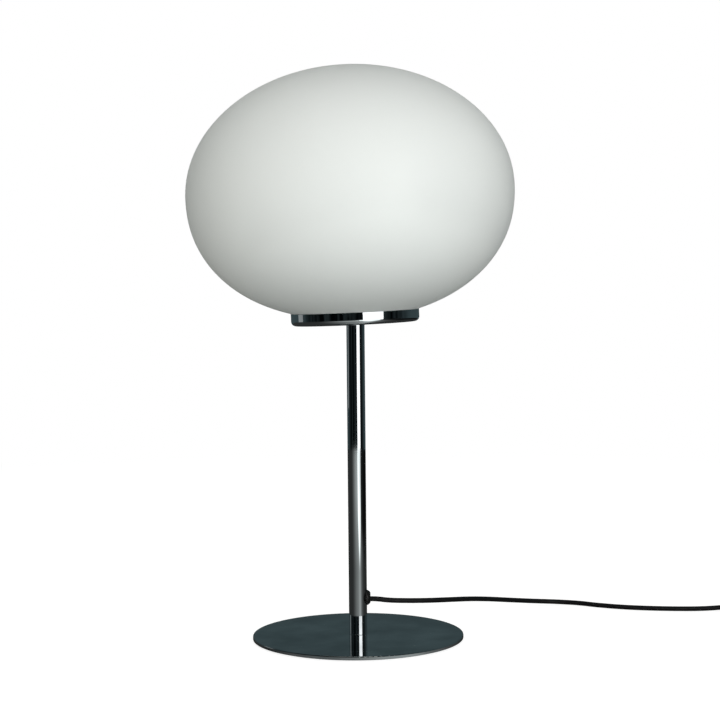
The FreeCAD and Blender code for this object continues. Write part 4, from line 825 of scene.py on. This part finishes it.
@dataclass
class Globe:
    """The opal glass: a full curve over its widest ring, one under it, and a straight neck.

    Attributes:
        half_wide: radius of the widest ring.
        middle: its height over the cup's floor.
        over: from the widest ring to the top.
        over_power: fullness of the upper curve.
        under: height of the lower curve, if it ran on to the axis.
        under_power: fullness of the lower curve.
        shoulder: radius where the curve turns down into the neck.
        neck: radius of the neck.
        foot: height of the neck's foot.
        wall: thickness of the glass.
        askew: how much further than its neck the blown ball leans.
        aside: how far it stands out of line with its neck.
        neck_upright_to: height up to which the neck doesn't lean.
        leans_in_full_from: height from which the ball leans by the whole angle.
        foot_rounding: radius of the rounding of the neck's foot.
        sharp: the angle from which an edge of the foot is rounded.
        rows: divisions of each curve of the outline.
        bend_rows: divisions of the bend above the neck.
        steps: steps of the turn about the axis.
    """

    nodes: Nodes
    frame: Matrix
    half_wide: float = 0.1389
    middle: float = 0.1107
    over: float = 0.1069
    over_power: float = 2.0
    under: float = 0.1068
    under_power: float = 2.17
    shoulder: float = 0.052
    neck: float = 0.049
    foot: float = 0.00245
    wall: float = 0.0025
    askew: float = math.radians(0.41)
    aside: float = 0.0005
    neck_upright_to: float = 0.012
    leans_in_full_from: float = 0.04
    foot_rounding: float = 0.001125
    sharp: float = 1.0
    rows: int = 40
    bend_rows: int = 8
    steps: int = 160

    def curve(self, high: float, power: float, last: float) -> list[tuple[float, float]]:
        """Radius and height of a fullness curve's points.

        Args:
            high: the curve's height from the widest ring.
            power: its fullness; 2 is a plain ellipse.
            last: the angle at which it ends.

        Returns:
            The points, from the widest ring on.
        """
        angles = [last * row / self.rows for row in range(self.rows + 1)]
        return [
            (self.half_wide * math.cos(angle) ** (2 / power), high * math.sin(angle) ** (2 / power))
            for angle in angles
        ]

    def bend(self, radius: float, height: float) -> list[tuple[float, float]]:
        """Points of the arc that turns the lower curve straight down.

        Args:
            radius: where the arc starts.
            height: its start, over the cup's floor.

        Returns:
            The points after the start, and the foot.
        """
        drop = self.middle - height
        across = (radius / self.half_wide) ** (self.under_power - 1) / self.half_wide
        along = (drop / self.under) ** (self.under_power - 1) / self.under
        slant = math.atan2(along, across)
        round_by = (radius - self.neck) / (1 - math.cos(slant))
        low = height - round_by * math.sin(slant)
        angles = [slant * (1 - row / self.bend_rows) for row in range(1, self.bend_rows + 1)]
        arc = [
            (self.neck + round_by * (1 - math.cos(angle)), low + round_by * math.sin(angle))
            for angle in angles
        ]
        return [*arc, (self.neck, self.foot)]

    def outline(self) -> list[tuple[float, float]]:
        """Draw the outside, from the top down to the neck's foot.

        Returns:
            The radius and height of each point.
        """
        last = math.acos((self.shoulder / self.half_wide) ** (self.under_power / 2))
        above = self.curve(self.over, self.over_power, math.pi / 2)[::-1]
        below = self.curve(self.under, self.under_power, last)
        ball = [(radius, self.middle + height) for radius, height in above]
        ball += [(radius, self.middle - height) for radius, height in below[1:]]
        return ball + self.bend(*ball[-1])

    def settle(self, form: bmesh.types.BMesh) -> None:
        """Lean the ball on its straight neck, with a soft change between them.

        Args:
            form: the turned surface.
        """
        centre = Matrix.Translation((0, 0, self.middle))
        turn = centre @ Matrix.Rotation(-self.askew, 4, "Y") @ centre.inverted()
        turn = Matrix.Translation((self.aside, 0, 0)) @ turn
        change = self.leans_in_full_from - self.neck_upright_to
        for vert in form.verts:
            share = min(1.0, max(0.0, (vert.co.z - self.neck_upright_to) / change))
            vert.co = vert.co.lerp(turn @ vert.co, share)

    def build(self) -> None:
        """Turn the outline about the head's axis, give it a wall and round its foot."""
        form = bmesh.new()
        profile = [form.verts.new((radius, 0, height)) for radius, height in self.outline()]
        edges = [form.edges.new(pair) for pair in zip(profile, profile[1:])]
        full_turn(form, profile + edges, self.steps)
        self.settle(form)
        bmesh.ops.recalc_face_normals(form, faces=form.faces)
        thin_wall(form, self.wall)
        low = self.foot + SAME_HEIGHT
        lip = [edge for edge in form.edges if all(vert.co.z < low for vert in edge.verts)]
        rings = [edge for edge in lip if edge.calc_face_angle(0.0) > self.sharp]
        bmesh.ops.bevel(
            form, geom=rings, offset=self.foot_rounding, segments=4, profile=0.5,
            material=-1, affect="EDGES",
        )
        glass = mesh_piece("glass_blown", form, self.frame)
        glass.data.materials.append(material_of(OPAL))
        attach(glass, Body.GLOBE.value)
        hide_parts("glass_globe")
        LOG.info("globe: blown opal glass")


@dataclass
class Bulb:
    """The bulb: diffuser, housing, threaded cap, insulator and centre contact."""

    nodes: Nodes
    frame: Matrix
    sheet: float = 0.0003
    foot_radius: float = 0.0121
    foot_height: float = 0.0439
    thread: Thread = Thread(
        pitch=0.00362, deep=0.0008, crest=0.0131, low=0.0455, high=0.0667, fade=0.0022,
    )

    def build(self) -> None:
        """Dress the bulb and thread its cap."""
        dress(self.nodes, DIFFUSER, "bulb_dome")
        dress(self.nodes, HOUSING, "bulb_housing")
        dress(self.nodes, ALUMINIUM, "bulb_screw_cap")
        dress(self.nodes, CAP_GLASS, "bulb_insulator")
        dress(self.nodes, BRASS, "bulb_centre_contact")
        form = self.thread.surface()
        draw_rim(form, self.thread.low, self.foot_radius, self.foot_height)
        bmesh.ops.recalc_face_normals(form, faces=form.faces)
        thin_wall(form, self.sheet)
        cap = mesh_piece("bulb_cap_threaded", form, self.frame)
        cap.data.materials.append(material_of(ALUMINIUM))
        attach(cap, Body.BULB.value)
        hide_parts("bulb_screw_cap")
        LOG.info("bulb: dome, housing, threaded cap, insulator and contact")


@dataclass
class CordSwitch:
    """The switch on the cord."""

    nodes: Nodes
    names: tuple[str, ...] = (
        "switch_lower_shell", "switch_upper_shell", "switch_pivot_pin", "switch_rocker",
        "switch_case_screws", "switch_contacts", "cord_switch_ends",
    )

    def build(self) -> None:
        """Dress the switch."""
        dress(self.nodes, BLACK, "switch_lower_shell", "switch_upper_shell", "switch_rocker")
        dress(self.nodes, ZINC, "switch_pivot_pin", "switch_case_screws")
        dress(self.nodes, BRASS, "switch_contacts")
        dress(self.nodes, SHEATH, "cord_switch_ends")
        LOG.info("switch: two shells, rocker, pin, screws, contacts and cord ends")

    def pieces(self) -> list[bpy.types.Object]:
        """The switch's pieces."""
        return [self.nodes[name] for name in self.names]


@dataclass
class Plug:
    """The flat plug with its bend relief, and the tie on the coil beside it."""

    nodes: Nodes
    names: tuple[str, ...] = (
        "plug_bend_relief", "plug_body", "plug_pins", "plug_pin_sleeves", "cord_plug_end",
        "cord_tie",
    )

    def build(self) -> None:
        """Dress the plug and the tie."""
        dress(self.nodes, BLACK, "plug_bend_relief", "plug_body", "plug_pin_sleeves")
        dress(self.nodes, NICKEL, "plug_pins")
        dress(self.nodes, SHEATH, "cord_plug_end")
        dress(self.nodes, TIE, "cord_tie")
        LOG.info("plug: body, relief, pins, sleeves and cord end; tie")

    def pieces(self) -> list[bpy.types.Object]:
        """The plug's pieces and the tie."""
        return [self.nodes[name] for name in self.names]


@dataclass(frozen=True)
class Coil:
    """The put-away cord: a spiral in, a climb, and a spiral out on top.

    Attributes:
        centre: the middle of the coil, seen from above.
        inner: radius of the innermost turn.
        step: from one turn to the next, and from the lower layer to the upper.
        turns: the turns of both layers together.
        low: height of the lower layer.
        per_turn: control points of one turn.
    """

    centre: tuple[float, float] = (0.451, 0.052)
    inner: float = 0.0177
    step: float = 0.005
    turns: float = 7.25
    low: float = 0.003
    per_turn: int = 16

    def point(self, turned: float, swell: float = 1.0) -> Vector:
        """One point of the coil's line.

        Args:
            turned: the angle turned so far, in radians, clockwise from above.
            swell: a factor on the radius, for control points outside the curve.

        Returns:
            The point.
        """
        per_radian = self.step / FULL_TURN
        halfway = math.pi * self.turns
        away = abs(turned - halfway)
        blend = math.pi / 2
        radius = self.inner + per_radian * away
        climb = 0.0 if turned < halfway else 1.0
        if away < blend:
            radius = self.inner + per_radian * (away**2 / (2 * blend) + blend / 2)
            climb = 0.5 + 0.5 * math.sin((turned - halfway) / blend * math.pi / 2)
        reach = swell * radius
        return Vector(
            (
                self.centre[0] + reach * math.cos(turned),
                self.centre[1] - reach * math.sin(turned),
                self.low + self.step * climb,
            )
        )

    def corners(self) -> list[Vector]:
        """Set control points just outside the turns, so that the curve lies on them.

        Returns:
            The control points.
        """
        count = round(self.turns * self.per_turn)
        swell = 1 / math.cos(math.pi / self.per_turn)
        whole = FULL_TURN * self.turns
        return [self.point(whole * (index + 0.5) / count, swell) for index in range(count)]

    def ends(self) -> tuple[Vector, Vector]:
        """The coil's first and last point."""
        return self.point(0.0), self.point(FULL_TURN * self.turns)


@dataclass
class Cord:
    """The free cord: lamp to switch, then switch through the coil to the plug."""

    nodes: Nodes
    switch: CordSwitch
    plug: Plug
    coil: Coil = Coil()
    diameter: float = 0.0044
    leaves_at: Triple = (0.01075, 0.0, 0.0336)
    switch_from: Triple = (0.382, 0.105, 0.008)
    switch_to: Triple = (0.444, 0.105, 0.008)
    plug_at: Triple = (0.408, 0.012, 0.00685)
    lead_long: float = 0.442
    rest_long: float = 1.344
    lead: tuple[Triple, ...] = (
        (0.016, 0.0, 0.0336),
        (0.0265, 0.0006, 0.032),
        (0.043, 0.0035, 0.031),
        (0.062, 0.013, 0.0292),
        (0.081, 0.030, 0.0266),
        (0.100, 0.054, 0.0226),
        (0.119, 0.083, 0.0167),
        (0.140, 0.109, 0.0106),
        (0.161, 0.132, 0.0052),
        (0.186, 0.143, 0.0022),
        (0.208, 0.135, 0.0022),
        (0.222, 0.124, 0.0022),
        (0.250, 0.111, 0.0022),
        (0.283, 0.104, 0.0022),
        (0.318, 0.102, 0.0022),
        (0.348, 0.104, 0.0042),
        (0.366, 0.105, 0.008),
    )

    def curve(self, name: str, corners: list[Triple | Vector]) -> bpy.types.Object:
        """One round cord on a smooth spline.

        Args:
            name: the piece's name.
            corners: the spline's control points.

        Returns:
            The curve object.
        """
        data = bpy.data.curves.new(name, "CURVE")
        data.dimensions = "3D"
        spline = data.splines.new("NURBS")
        spline.points.add(len(corners) - 1)
        for point, corner in zip(spline.points, corners):
            point.co = (*corner, 1.0)
        spline.order_u = 3
        spline.use_endpoint_u = True
        spline.resolution_u = 8
        data.bevel_depth = self.diameter / 2
        data.bevel_resolution = 6
        data.use_fill_caps = True
        data.materials.append(material_of(SHEATH))
        made = to_scene(name, data)
        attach(made, Body.LAMP.value)
        return made

    def build(self) -> None:
        """Make both lengths."""
        dress(self.nodes, SHEATH, "cord_run", "cord_link", "cord_coil", "cord_tail")
        lead = self.curve("cord_lead", [self.leaves_at, *self.lead, self.switch_from])
        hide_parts("cord_run")
        self.switch.pieces()
        start, last = self.coil.ends()
        plug_x, plug_y, plug_z = self.plug_at
        corners = [
            self.switch_to,
            (0.457, 0.105, 0.008),
            (0.473, 0.098, 0.0046),
            (start.x, start.y + 0.026, start.z),
            (start.x, start.y + self.diameter, start.z),
            *self.coil.corners(),
            (last.x - self.diameter, last.y, last.z),
            (last.x - 0.0159, last.y, last.z),
            (plug_x + 0.012, plug_y, plug_z),
            self.plug_at,
        ]
        rest = self.curve("cord_put_away", corners)
        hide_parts("cord_link", "cord_coil", "cord_tail")
        self.plug.pieces()
        LOG.info("cord: lead to the switch, and the coiled rest to the plug")


# Camera and stage


@dataclass(frozen=True)
class Viewpoint:
    """The photograph's camera, found from the outlines in it."""

    distance: float = 1.45
    height: float = 0.30804
    sideways: float = 0.00361
    focal_pixels: float = 1707.5
    pitch: float = math.radians(2.756)
    roll: float = math.radians(0.52)

    def build(self) -> None:
        """Make the camera and set it as the scene's own."""
        data = bpy.data.cameras.new("camera")
        data.sensor_width = SENSOR_MM
        data.lens = self.focal_pixels / IMAGE_SIZE * SENSOR_MM
        data.clip_start = 0.01
        camera = to_scene("camera", data)
        place = Matrix.Translation((self.sideways, -self.distance, self.height))
        aim = Matrix.Rotation(math.pi / 2 - self.pitch, 4, "X")
        camera.matrix_world = place @ aim @ Matrix.Rotation(-self.roll, 4, "Z")
        bpy.context.scene.camera = camera


@dataclass(frozen=True)
class SoftLight:
    """One rectangular light that faces a point of the lamp.

    Attributes:
        name: the light's name.
        at: where it hangs.
        wide: its width.
        high: its height.
        power: its power in watts.
        colour: its colour.
        towards: the point that it faces.
        mirrored: whether the chrome shows it.
    """

    name: str
    at: Triple
    wide: float
    high: float
    power: float
    colour: Triple = (1.0, 1.0, 1.0)
    towards: Triple = LAMP_MIDDLE
    mirrored: bool = False

    def build(self) -> None:
        """Hang the light."""
        data = bpy.data.lights.new(self.name, "AREA")
        data.shape = "RECTANGLE"
        data.size = self.wide
        data.size_y = self.high
        data.energy = self.power
        data.color = self.colour
        light = to_scene(self.name, data)
        light.location = self.at
        aim = Vector(self.towards) - Vector(self.at)
        light.rotation_euler = aim.to_track_quat("-Z", "Y").to_euler()
        light.visible_camera = False
        light.visible_glossy = self.mirrored


@dataclass(frozen=True)
class Stage:
    """Floor, surround and lights. None of it is the object.

    Attributes:
        floor_radius: radius of the floor that the camera sees.
        floor_height: its height, just under the pad.
        floor_tone: its colour under the lights.
        floor_glow: the light of its own, which keeps it pale.
        fade: from and to which distance it turns into the white surround.
        table_radius: radius of the glowing disc that metal and glass see instead, a painted
            reflection of the table.
        table_height: its height.
        slate: the surround behind the lamp, as metal sees it.
        gloom: the darkest of the surround on the viewer's side.
        haze: the lightest of it.
        ambient: the surround as matt surfaces see it.
        pool: the colour of the painted light on the table.
        pool_turn: the way to its beam, from the front to the right.
        spill_turn: the way to the soft light round it.
        beam_edge: how near the beam's own way its bright edge lies, close by and far off.
        edge_from: the distances that go with it.
        edge_soft: the width of that edge's change.
        edge_glow: how bright it is.
        spill_glow: how bright the soft light is, close by and far off.
        spill_from: the distances that go with it.
        beam_glow: how bright the beam's middle is.
        least_glow: what the table has everywhere.
        dims_across: from and to which place to the right the light dims.
        dims_to: what is left of it there.
    """

    floor_radius: float = 4.5
    floor_height: float = -0.0003
    floor_tone: Colour = rgb(0.36, 0.36, 0.36)
    floor_glow: float = 0.85
    fade: tuple[float, float] = (0.5, 1.5)
    table_radius: float = 1.62
    table_height: float = -0.0006
    slate: Colour = rgb(0.050, 0.074, 0.080)
    gloom: Colour = rgb(0.0005, 0.0012, 0.0015)
    haze: Colour = rgb(0.022, 0.030, 0.032)
    ambient: Colour = rgb(0.192, 0.198, 0.183)
    pool: Colour = rgb(1.9, 2.02, 2.0)
    pool_turn: float = math.radians(28)
    spill_turn: float = math.radians(10)
    beam_edge: tuple[float, float] = (1.0, 0.94)
    edge_from: tuple[float, float] = (0.34, 0.8)
    edge_soft: float = 0.02
    edge_glow: float = 0.6
    spill_glow: tuple[float, float] = (0.11, 0.24)
    spill_from: tuple[float, float] = (0.35, 1.0)
    beam_glow: float = 0.12
    least_glow: float = 0.018
    dims_across: tuple[float, float] = (0.4, 0.62)
    dims_to: float = 0.15
    lights: tuple[SoftLight, ...] = (
        SoftLight("key", (0.85, -1.35, 0.68), wide=1.15, high=1.5, power=9.5, mirrored=True),
        SoftLight("front", (0.15, -2.3, 0.55), wide=2.2, high=2.0, power=20.0),
        SoftLight(
            "left fill", (-1.7, -0.7, 0.4), wide=1.6, high=1.6, power=9.5,
            colour=(1.0, 0.99, 0.95),
        ),
        SoftLight("right fill", (1.8, -0.4, 0.5), wide=1.4, high=1.4, power=3.0),
        SoftLight("back fill", (-0.2, 2.3, 0.8), wide=1.8, high=1.8, power=17.0),
        SoftLight("top", (0.0, -0.3, 2.2), wide=1.8, high=1.8, power=10.0),
        SoftLight(
            "bounce", (0.3, -0.8, -0.9), wide=1.6, high=1.6, power=10.5,
            colour=(1.0, 1.0, 0.93), towards=(0, 0, 0.3),
        ),
        SoftLight(
            "card", (-1.5, 0.62, 0.42), wide=0.42, high=0.7, power=0.25,
            towards=(0, 0, 0.32), mirrored=True,
        ),
    )

    def build(self) -> None:
        """Set up the surround, the floor and the lights."""
        self.surround()
        self.floor()
        self.table_in_the_chrome()
        for light in self.lights:
            light.build()
        LOG.info("stage: floor, surround and %d lights", len(self.lights))

    def surround(self) -> None:
        """Make it white to the eye, a dark studio to the chrome, and a soft light to the rest."""
        world = bpy.data.worlds.new("studio")
        bpy.context.scene.world = world
        graph = Graph(world)
        is_camera = graph.node("ShaderNodeLightPath", {}, {}, "Is Camera Ray")
        is_diffuse = graph.node("ShaderNodeLightPath", {}, {}, "Is Diffuse Ray")
        way = graph.node("ShaderNodeTexCoord", {}, {}, "Generated")
        ahead = graph.node("ShaderNodeVectorMath", {"operation": "DOT_PRODUCT"}, {
            0: way, 1: (0.0, 1.0, 0.0),
        }, "Value")
        flattened = graph.node("ShaderNodeMapping", {}, {"Vector": way, "Scale": (1.0, 1.0, 0.4)})
        streaks = graph.node(
            "ShaderNodeTexNoise", {}, {"Vector": flattened, "Scale": 7.0, "Detail": 2.0}, "Fac"
        )
        near = graph.blend(streaks.between(0.42, 0.66), self.gloom, self.haze)
        room = graph.blend(ahead.between(-0.1, 0.5), near, self.slate)
        lit = graph.blend(is_diffuse, room, self.ambient)
        dark = graph.node("ShaderNodeBackground", {}, {0: lit})
        white = graph.node("ShaderNodeBackground", {}, {0: rgb(1.0, 1.0, 1.0)})
        graph.finish(graph.node("ShaderNodeMixShader", {}, {0: is_camera, 1: dark, 2: white}))

    def disc(self, name: str, radius: float, height: float) -> tuple[bpy.types.Object, Graph]:
        """A flat round stage piece with an empty material.

        Args:
            name: the piece's name.
            radius: its radius.
            height: where it lies.

        Returns:
            The object and its material's graph.
        """
        form = bmesh.new()
        bmesh.ops.create_circle(form, cap_ends=True, segments=128, radius=radius)
        made = mesh_piece(name, form, Matrix.Translation((0, 0, height)))
        material = bpy.data.materials.new(name)
        made.data.materials.append(material)
        return made, Graph(material)

    def floor(self) -> None:
        """Lay the pale table top, which fades into the surround."""
        made, graph = self.disc("floor", self.floor_radius, self.floor_height)
        lit = graph.node("ShaderNodeAddShader", {}, {
            0: graph.node("ShaderNodeBsdfDiffuse", {}, {0: self.floor_tone}),
            1: graph.node("ShaderNodeEmission", {}, {1: self.floor_glow}),
        })
        white = graph.node("ShaderNodeEmission", {}, {1: 1.0})
        fade = graph.node("ShaderNodeMixShader", {}, {
            0: self.far(graph).between(*self.fade), 1: lit, 2: white,
        })
        graph.finish(fade)
        made.visible_diffuse = False
        made.visible_glossy = False
        made.visible_shadow = False

    def far(self, graph: Graph) -> Value:
        """The distance from the lamp's foot."""
        place = graph.place()
        return graph.node("ShaderNodeVectorMath", {"operation": "LENGTH"}, {0: place}, "Value")

    def table_in_the_chrome(self) -> None:
        """Lay a glowing disc, unseen by the camera, that paints the table as metal and glass see
        it: a painted reflection, with a painted pool of light to the right in front.
        """
        made, graph = self.disc("table_in_chrome", self.table_radius, self.table_height)
        spill = self.towards(graph, self.spill_turn)
        beam = self.towards(graph, self.pool_turn)
        edge = self.far(graph).between(*self.edge_from, *self.beam_edge)
        streak = (beam - edge).between(0.0, self.edge_soft)
        near = self.far(graph).between(*self.spill_from, *self.spill_glow)
        across = graph.node("ShaderNodeSeparateXYZ", {}, {0: graph.place()}, "X")
        lit = across.between(*self.dims_across, 1.0, self.dims_to)
        # painted light: the pool, its soft spill and the bright streak at the beam's edge are
        # painted into the disc's glow
        pool = self.least_glow + near * spill**3 + self.beam_glow * beam**30
        light = lit * pool + self.edge_glow * streak
        shade = graph.blend(light, rgb(0.0, 0.0, 0.0), self.pool)
        graph.finish(graph.node("ShaderNodeEmission", {}, {0: shade}))
        made.visible_camera = False
        made.visible_shadow = False

    def towards(self, graph: Graph, turn: float) -> Value:
        """How nearly a place on the table lies in a direction from the lamp's foot.

        Args:
            graph: the table's material.
            turn: the direction, from the front towards the right.

        Returns:
            1 in the direction itself, and 0 from square to it on.
        """
        place = graph.place()
        way = graph.node("ShaderNodeVectorMath", {"operation": "NORMALIZE"}, {0: place})
        alike = graph.node("ShaderNodeVectorMath", {"operation": "DOT_PRODUCT"}, {
            0: way, 1: (math.sin(turn), -math.cos(turn), 0.0),
        }, "Value")
        return alike.between(0.0, 1.0)


def main() -> None:
    """Build the camera, the cords, each sub-assembly and the stage round the CAD frame."""
    logging.basicConfig(level=logging.INFO, format="%(name)s: %(message)s")
    bpy.context.scene.view_settings.view_transform = "Standard"
    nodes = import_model()["nodes"]
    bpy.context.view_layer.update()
    Viewpoint().build()
    switch = CordSwitch(nodes)
    plug = Plug(nodes)
    Cord(nodes, switch, plug).build()
    head = Head(nodes)
    for assembly in (
        Base(nodes), Stem(nodes), head, Lampholder(nodes, head.frame),
        Globe(nodes, head.frame), Bulb(nodes, head.frame), switch, plug, Stage(),
    ):
        assembly.build()
    bpy.context.view_layer.update()


if __name__ == "__main__":
    main()
